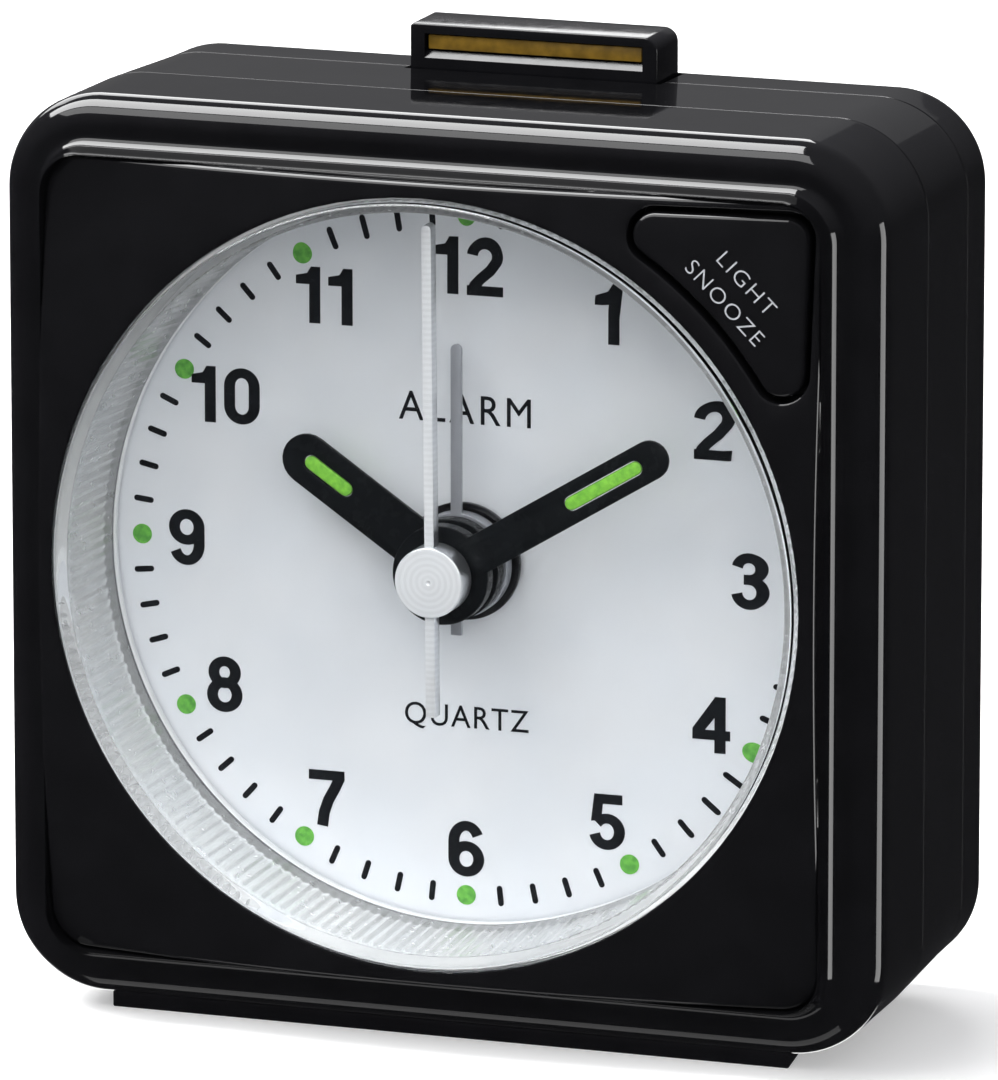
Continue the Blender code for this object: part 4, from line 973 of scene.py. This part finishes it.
def capsule(width, length, centre, steps=8):
    """Outline of a bar with round ends along the 12 o'clock direction, centred at a radius."""
    half, flat = width / 2, (length - width) / 2
    points = []
    for end in (1, -1):
        for i in range(steps + 1):
            turn = pi * i / steps + (0 if end > 0 else pi)
            points.append((half * cos(turn), centre + end * flat + half * sin(turn)))
    return points


def ink(outline, holes=()):
    return prism(outline, -INK, INK_SUNK, holes)


def ink_box(x, z):
    return box(x, (-INK, INK_SUNK), z)


def printed(name, outlines, finish):
    """Thin ink on the dial in the shape of several separate outlines."""
    bm = bmesh.new()
    for outline in outlines:
        part = ink(outline)
        mesh = bpy.data.meshes.new("part")
        part.to_mesh(mesh)
        part.free()
        bm.from_mesh(mesh)
        bpy.data.meshes.remove(mesh)
    return dress(solid(name, bm, finish), "case", "dial_silver")


def make_marks(finishes):
    ticks, dots = [], []
    for minute in range(60):
        turn = 6 * minute
        if minute % 5:
            ticks.append(clockwise(capsule(0.37, 1.3, MARK_RADIUS), turn))
        else:
            dots.append(clockwise(capsule(1.25, 1.26, MARK_RADIUS, 16), turn))
    printed("minute_marks", ticks, finishes["ink_black"])
    printed("hour_dots", dots, finishes["ink_green"])


DIGIT_HEIGHT = 3.55
DIGIT_WIDTH = 2.35
STEM = 0.72                      # width of upright strokes
BEAM = 0.62                      # width of level strokes


def arc_path(centre, radii, start, end, steps=20):
    """Points along part of an ellipse, in degrees anticlockwise from its right."""
    turns = [radians(start + (end - start) * i / steps) for i in range(steps + 1)]
    return [(centre[0] + radii[0] * cos(t), centre[1] + radii[1] * sin(t)) for t in turns]


def stroke(path, closed=False):
    """A band along a path, as wide as a stem where it runs upright and as a beam where it runs level."""
    count = len(path)
    left, right = [], []
    for i, (x, z) in enumerate(path):
        before = path[i - 1] if closed or i else path[0]
        after = path[(i + 1) % count] if closed or i < count - 1 else path[-1]
        dx, dz = after[0] - before[0], after[1] - before[1]
        size = hypot(dx, dz)
        dx, dz = dx / size, dz / size
        half = hypot(STEM * dz, BEAM * dx) / 2
        left.append((x - dz * half, z + dx * half))
        right.append((x + dz * half, z - dx * half))
    if closed:
        return ink(left, [right])
    return ink(left + right[::-1])


def digit_strokes(digit):
    """The strokes of a plain bold numeral, centred on the origin."""
    top, side = DIGIT_HEIGHT / 2, DIGIT_WIDTH / 2
    level, upright = top - BEAM / 2, side - STEM / 2
    if digit == "0":
        head = arc_path((0, level - 0.85), (upright, 0.85), 0, 180)
        return [stroke(head + arc_path((0, 0.85 - level), (upright, 0.85), 180, 360), closed=True)]
    if digit == "1":
        stem = [(0.02, -top), (0.74, -top), (0.74, top), (0.16, top), (0.02, top - 0.35)]
        flag = [(-0.85, top - 1.12), (0.3, top - 1.12), (0.3, top), (0.14, top)]
        flag += [(-0.12, top - 0.42), (-0.85, top - 0.58)]
        return [ink(stem), ink(flag)]
    if digit == "2":
        bowl_z = level - 0.76
        path = arc_path((0, bowl_z), (upright, 0.76), 176, -28, 24)
        path += [(0.34, -0.18), (-0.28, -0.72), (-0.68, -1.16), (-0.8, 0.12 - top)]
        return [stroke(path), ink_box((-side, side), (-top, BEAM - top))]
    if digit == "3":
        upper = arc_path((-0.06, level - 0.68), (upright - 0.06, 0.68), 172, -90, 24)
        lower = arc_path((-0.04, 0.78 - level), (upright, 0.78), 90, -172, 24)
        return [stroke(upper + [(-0.4, level - 1.36)]), stroke([(-0.4, 1.56 - level)] + lower)]
    if digit == "4":
        stem = ink_box((0.22, 0.22 + STEM), (-top, top))
        beam = ink_box((-side - 0.03, side + 0.06), (0.82 - top, 0.82 - top + BEAM))
        slope = [(-side - 0.03, 0.9 - top), (-side - 0.03, 1.5 - top), (0.26, top), (0.5, top)]
        slope += [(0.5, top - 0.98), (-0.5, 1.3 - top)]
        return [stem, beam, ink(slope)]
    if digit == "5":
        beam = ink_box((-0.72, 1.0), (top - BEAM, top))
        stem = [(-0.83, top), (-0.2, top), (-0.38, 0.1), (-1.04, 0.02)]
        bowl = arc_path((0.0, 0.86 - level), (upright, 0.84), 142, -168, 26)
        return [beam, ink(stem), stroke(bowl)]
    if digit in "69":
        bowl = arc_path((0, 0.82 - level), (upright, 0.82), 0, 360, 36)[:-1]
        back = arc_path((0.0, level - 1.0), (upright, 1.0), 24, 180, 20)
        back += [(-upright, -0.2), (-upright, 0.82 - level)]
        strokes = [stroke(bowl, closed=True), stroke(back)]
        if digit == "9":
            for bm in strokes:
                for vert in bm.verts:
                    vert.co.x, vert.co.z = -vert.co.x, -vert.co.z
        return strokes
    if digit == "7":
        beam = ink_box((-side, side), (top - BEAM, top))
        path = [(0.9, top - 0.35), (0.52, 0.62), (0.12, -0.1), (-0.16, -0.9), (-0.28, -top)]
        return [beam, stroke(path)]
    upper = arc_path((0, level - 0.7), (upright - 0.1, 0.7), 0, 360, 36)[:-1]
    lower = arc_path((0, 0.8 - level), (upright, 0.8), 0, 360, 36)[:-1]
    return [stroke(upper, closed=True), stroke(lower, closed=True)]


def digit_mesh(digit):
    first, *rest = digit_strokes(digit)
    obj = solid("digit", first)
    if rest:
        shape(obj, [add(bm) for bm in rest])
    mesh = obj.data
    bpy.data.objects.remove(obj)
    return mesh


def make_numerals(finish):
    """The hours 1 to 12, upright, as one layer of ink."""
    meshes = {digit: digit_mesh(digit) for digit in "0123456789"}
    pitch = DIGIT_WIDTH + 0.12
    narrow = 0.35                    # a 1 stands closer to its neighbour
    bm = bmesh.new()
    for hour in range(1, 13):
        digits = str(hour)
        turn = radians(30 * hour)
        centre = (NUMERAL_RADIUS * sin(turn), NUMERAL_RADIUS * cos(turn))
        for place, digit in enumerate(digits):
            shift = (place - (len(digits) - 1) / 2) * (pitch - (narrow if digits == "11" else 0))
            start = len(bm.verts)
            bm.from_mesh(meshes[digit])
            bm.verts.ensure_lookup_table()
            at = Vector((centre[0] + shift, 0, centre[1])) * MM
            bmesh.ops.translate(bm, vec=at, verts=bm.verts[start:])
    mesh = bpy.data.meshes.new("numerals")
    bm.to_mesh(mesh)
    bm.free()
    obj = bpy.data.objects.new("numerals", mesh)
    bpy.context.scene.collection.objects.link(obj)
    mesh.materials.append(finish)
    soften(mesh, SHARP)
    dress(obj, "case", "dial_silver")


CAPITAL = 0.72                   # height of the letters as a share of the font's size
LETTER_WELD = 0.0005
FLAT = dict(turn=0.0, surface=lambda x, z: 0.0, weight=0.0, body="case", slot="dial_silver")
SLANTED = dict(turn=45.0, surface=dome_depth, weight=-0.02, body="snooze_button", slot="gloss_black")


def word(name, text, size, centre, finish, turn, surface, weight, body, slot):
    """A word of (height, width, spacing), centred at (x, z), turned clockwise and laid on a surface."""
    height, width, spacing = size
    curve = bpy.data.curves.new(name, "FONT")
    curve.body = text
    curve.size = height / CAPITAL
    curve.space_character = spacing
    curve.align_x = "CENTER"
    curve.extrude = (INK + INK_SUNK) / 2
    curve.resolution_u = 4
    curve.offset = weight
    holder = bpy.data.objects.new(name, curve)
    bpy.context.scene.collection.objects.link(holder)
    graph = bpy.context.evaluated_depsgraph_get()
    mesh = bpy.data.meshes.new_from_object(holder.evaluated_get(graph))
    bpy.data.objects.remove(holder)
    squeeze = width / (max(v.co.x for v in mesh.vertices) - min(v.co.x for v in mesh.vertices))
    bm = bmesh.new()
    bm.from_mesh(mesh)
    bmesh.ops.remove_doubles(bm, verts=bm.verts, dist=LETTER_WELD)
    for vert in bm.verts:
        (x, z), = clockwise([(vert.co.x * squeeze, vert.co.y - height / 2)], turn)
        x, z = x + centre[0], z + centre[1]
        out = vert.co.z + (INK - INK_SUNK) / 2
        vert.co = (x, surface(x, z) - out, z)
    return dress(solid(name, bm, finish), body, slot)


# ---------------------------------------------------------------- hands
HOUR_ANGLE = 304.0
MINUTE_ANGLE = 58.7
SECOND_ANGLE = 359.5


def bar(width, start, end, steps=12):
    """Outline of a straight bar along the 12 o'clock direction with a round far end."""
    half = width / 2
    tip = [(half * cos(t), end - half + half * sin(t)) for t in (pi * i / steps for i in range(steps + 1))]
    return [(half, start)] + tip + [(-half, start)]


def refinish(obj, finish):
    """One finish for a body that was joined from several."""
    obj.data.materials.clear()
    obj.data.materials.append(finish)


def on_hub(blade, node, hub, edge):
    """Joins a turned hub of (radius, bore) to a hand's blade and drills it."""
    radius, bore = hub
    front, rear = span(node)[1]
    face = front + 0.01
    profile = [(0, face), (radius - edge, face), (radius, front + 0.06), (radius, rear), (0, rear)]
    shape(blade, [add(turned(profile, 64)), cut(rod(bore, front - 1, rear + 1))])


def make_lumed_hand(name, body, angle, blade, hub, lume, finishes):
    """Stamped black hand on a turned hub, with a strip of luminous paint set into its slot."""
    front = span(name)[1][0]
    rear = front + 0.35
    width, length = blade
    paint_width, paint_length, paint_at = lume
    slot = clockwise(capsule(paint_width + 0.16, paint_length + 0.16, paint_at), angle)
    hand = solid(name + "_blade", prism(clockwise(bar(width, -0.5, length), angle), front, rear, [slot]))
    on_hub(bevelled(hand, 0.05, 2), name, hub, 0.06)
    refinish(hand, finishes["hand_black"])
    dress(hand, body, "hand_black", name)
    strip = clockwise(capsule(paint_width + 0.04, paint_length + 0.04, paint_at), angle)
    paint = solid(name + "_paint", prism(strip, front + 0.05, rear), finishes["lume_green"])
    bevelled(paint, 0.08, 3)
    dress(paint, body, "lume_green", name + "_lume")


def make_alarm_hand(finish):
    front = span("alarm_hand")[1][0]
    hand = bevelled(solid("alarm_pointer", prism(bar(0.7, -4.4, 13.9), front, front + 0.3)), 0.04, 2)
    on_hub(hand, "alarm_hand", (3.3, 2.13), 0.05)
    refinish(hand, finish)
    dress(hand, "alarm", "alarm_hand_grey", "alarm_hand")


def make_second_hand(finish):
    front, rear = span("second_hand")[1]
    needle = prism(clockwise(bar(0.63, -8.5, 22.2), SECOND_ANGLE), -6.75, -5.85)
    hand = bevelled(solid("seconds_needle", needle), 0.05, 2)
    cap, rim = 2.2, 0.12
    profile = [(0, front), (cap - rim, front)]
    profile += [(cap - rim + rim * sin(t), front + rim * (1 - cos(t))) for t in quarter(6)[1:]]
    profile += [(cap, rear), (0, rear)]
    pip = [(0, front - 1), (0.16, front - 1), (0.16, front + 0.02), (0, front + 0.12)]
    shape(hand, [add(turned(profile, 96)), cut(rod(0.47, -6.3, -4.0, 24)), cut(turned(pip, 24))])
    refinish(hand, finish)
    dress(hand, "second", "chrome", "second_hand")


# ---------------------------------------------------------------- buttons, knobs and screws
def make_snooze_button(finishes):
    """Rounded triangle, level with the panel, with a softly rounded edge."""
    edge = 0.4
    rings = [
        on_dome(corner_outline(-SNOOZE_GROOVE - edge * (1 - sin(t))), edge * (1 - cos(t))) for t in quarter(8)
    ]
    rings.append(at_depth(corner_outline(-SNOOZE_GROOVE), SNOOZE_STOP + 0.5))
    button = solid("corner_button", loft(rings), finishes["gloss_black"])
    _, depth, _ = span("light_snooze_button")
    plunger = 19.6
    steps = [
        add(prism(corner_outline(-0.03), SNOOZE_STOP + 0.3, SNOOZE_STOP + 0.9)),
        add(rod(1.1, SNOOZE_STOP + 0.7, depth[1], 32, (plunger, plunger))),
    ]
    shape(button, steps)
    dress(button, "snooze_button", "gloss_black", "light_snooze_button")
    for text, along, above, width in (("LIGHT", 0.24, 28.85, 4.6), ("SNOOZE", 0.2, 27.1, 6.35)):
        centre = ((above + along) / 2 ** 0.5, (above - along) / 2 ** 0.5)
        word("label_" + text.lower(), text, (0.97, width, 1.15), centre, finishes["ink_white"], **SLANTED)


def make_alarm_button(finishes):
    """Pop-up bar with a framed window for the amber strip and a rough sill below it."""
    x, depth, z = span("alarm_button")
    front, rear = depth[0] + 0.5, depth[1]
    half, top = 8.1, z[1]
    corner = 0.9
    outline = [(-half, 25.2), (half, 25.2)]
    outline += [(half - corner + corner * cos(t), top - corner + corner * sin(t)) for t in quarter(10)]
    outline += [(-half + 0.25 * (1 - sin(t)), top - 0.25 * (1 - cos(t))) for t in quarter(4)]
    button = bevelled(solid("alarm_bar", prism(outline, front, rear), finishes["satin_black"]), 0.12, 3)
    strip_x, strip_depth, strip_z = span("alarm_button_amber_strip")
    window_x = strip_x[1] + 0.15
    window_z = (strip_z[0] - 0.12, strip_z[1] + 0.12)
    sill_top = window_z[0] + 0.02
    slope = ((front - 0.1, window_z[0] - 0.5), (front + 0.4, sill_top), (front - 0.1, sill_top))
    sill = [[(side * window_x, *point) for point in slope] for side in (-1, 1)]
    steps = [
        add(box(x, depth, (24.8, 25.8))),
        add(box((-3.0, 3.0), (front - 0.2, front + 1.0), (z[0], 25.0))),
        cut(box((-window_x, window_x), (front - 1, front + 1.0), window_z)),
        cut(loft(sill)),
    ]
    shape(button, steps)
    dress(button, "alarm_switch_button", "satin_black", "alarm_button")
    strip = bevelled(solid("signal_strip", box(strip_x, strip_depth, strip_z), finishes["amber"]), 0.06, 2)
    dress(strip, "alarm_switch_button", "amber", "alarm_button_amber_strip")


def make_knob(node, body, finish):
    """Setting knob with rounded grips, a dished face and a stem."""
    _, depth, _ = span(node)
    at = middle(node)
    front = REAR_FACE + 0.4
    grips, per_grip = 30, 8
    count = grips * per_grip

    def ring(radius, at_depth_mm, groove):
        points = []
        for i in range(count):
            turn = 2 * pi * i / count
            reach = radius - groove * (0.5 - 0.5 * cos(2 * pi * i / per_grip)) ** 2
            points.append((at[0] + reach * cos(turn), at_depth_mm, at[1] + reach * sin(turn)))
        return points

    radius, rear, rim = 4.7, depth[1], 0.35
    rings = [[(at[0], front, at[1])], ring(radius - 0.4, front, 0.0), ring(radius, front + 0.25, 0.3)]
    rings += [ring(radius - rim * (1 - cos(t)), rear - rim + rim * sin(t), 0.3 * cos(t)) for t in quarter(6)]
    rings += [ring(radius - 0.9, rear, 0.0), ring(radius - 1.3, rear - 0.3, 0.0)]
    rings.append([(at[0], rear - 0.4, at[1])])
    knob = solid(node + "_cap", loft(rings), finish)
    steps = [
        add(rod(1.15, depth[0], REAR_FACE + 0.8, 32, at)),
        cut(rod(0.67, depth[0] - 1, REAR_FACE + 1.3, 24, at)),
    ]
    shape(knob, steps)
    dress(knob, body, "satin_black", node)


def make_screw(number, finish):
    """Self-tapping screw with a domed cross-slot head and a threaded shank."""
    node = f"case_screw_{number}"
    _, depth, _ = span(node)
    at = middle(node)
    head, rear, tip = 1.75, depth[1], depth[0]
    shank, thread = 0.72, 0.95
    pitch, steps_per_turn = 0.6, 12
    head_front = REAR_FACE - 0.8
    profile = [(0, tip), (0.3, tip + 0.2), (shank, tip + 1.0)]
    depth_now = tip + 1.2
    while depth_now + pitch < head_front:
        profile += [(shank, depth_now), (thread, depth_now + pitch / 2), (shank, depth_now + pitch * 0.95)]
        depth_now += pitch
    profile += [(shank, head_front), (head - 0.08, head_front)]
    profile += [(head, head_front + 0.08), (head, rear - 0.25)]
    profile += [(head - 0.45 * (1 - cos(t)), rear - 0.25 + 0.25 * sin(t)) for t in quarter(5)[1:]]
    profile.append((0, rear))
    screw = solid(f"screw_{number}", turned(profile, 48, at), finish)
    arm, half = 1.05, 0.19
    cross = [
        cut(box((at[0] - a, at[0] + a), (rear - 0.4, rear + 1), (at[1] - b, at[1] + b)))
        for a, b in ((arm, half), (half, arm))
    ]
    shape(screw, cross, 30)
    dress(screw, "case", "steel", node)


# ---------------------------------------------------------------- everything together
def dress_frame(finishes):
    """Gives every CAD node the finish of its slot."""
    for part in frame["record"]["subparts"]:
        obj = frame["nodes"][part["node"]]
        for slot in obj.material_slots:
            slot.material = finishes[part["material_slot"]]


def build():
    finishes = make_finishes()
    make_camera()
    make_studio()
    dress_frame(finishes)

    make_front_case(finishes["gloss_black"])
    make_middle_case(finishes["gloss_black"])
    make_rear_cover(finishes["gloss_black"])
    make_battery_door(finishes["gloss_black"])
    make_foot(finishes["satin_black"])
    make_crystal(finishes)
    make_lens_seat(finishes["white_plastic"])
    make_dial(finishes)
    make_marks(finishes)
    make_numerals(finishes["ink_black"])
    word("movement_word", "QUARTZ", (1.45, 8.1, 1.1), (0, -9.96), finishes["ink_black"], **FLAT)
    word("kind_word", "ALARM", (1.9, 8.6, 1.2), (0, 9.5), finishes["ink_black"], **FLAT)

    hour, minute = (HOUR_ANGLE, (3.2, 12.8), (3.2, 1.58)), (MINUTE_ANGLE, (2.45, 17.0), (3.1, 1.03))
    make_lumed_hand("hour_hand", "hour", *hour, (0.85, 3.5, 9.5), finishes)
    make_lumed_hand("minute_hand", "minute", *minute, (0.8, 5.6, 12.3), finishes)
    make_alarm_hand(finishes["alarm_hand_grey"])
    make_second_hand(finishes["chrome"])
    make_snooze_button(finishes)
    make_alarm_button(finishes)
    make_knob("time_set_knob", "time_setting", finishes["satin_black"])
    make_knob("alarm_set_knob", "alarm_setting", finishes["satin_black"])
    for number in range(1, 5):
        make_screw(number, finishes["steel"])


build()
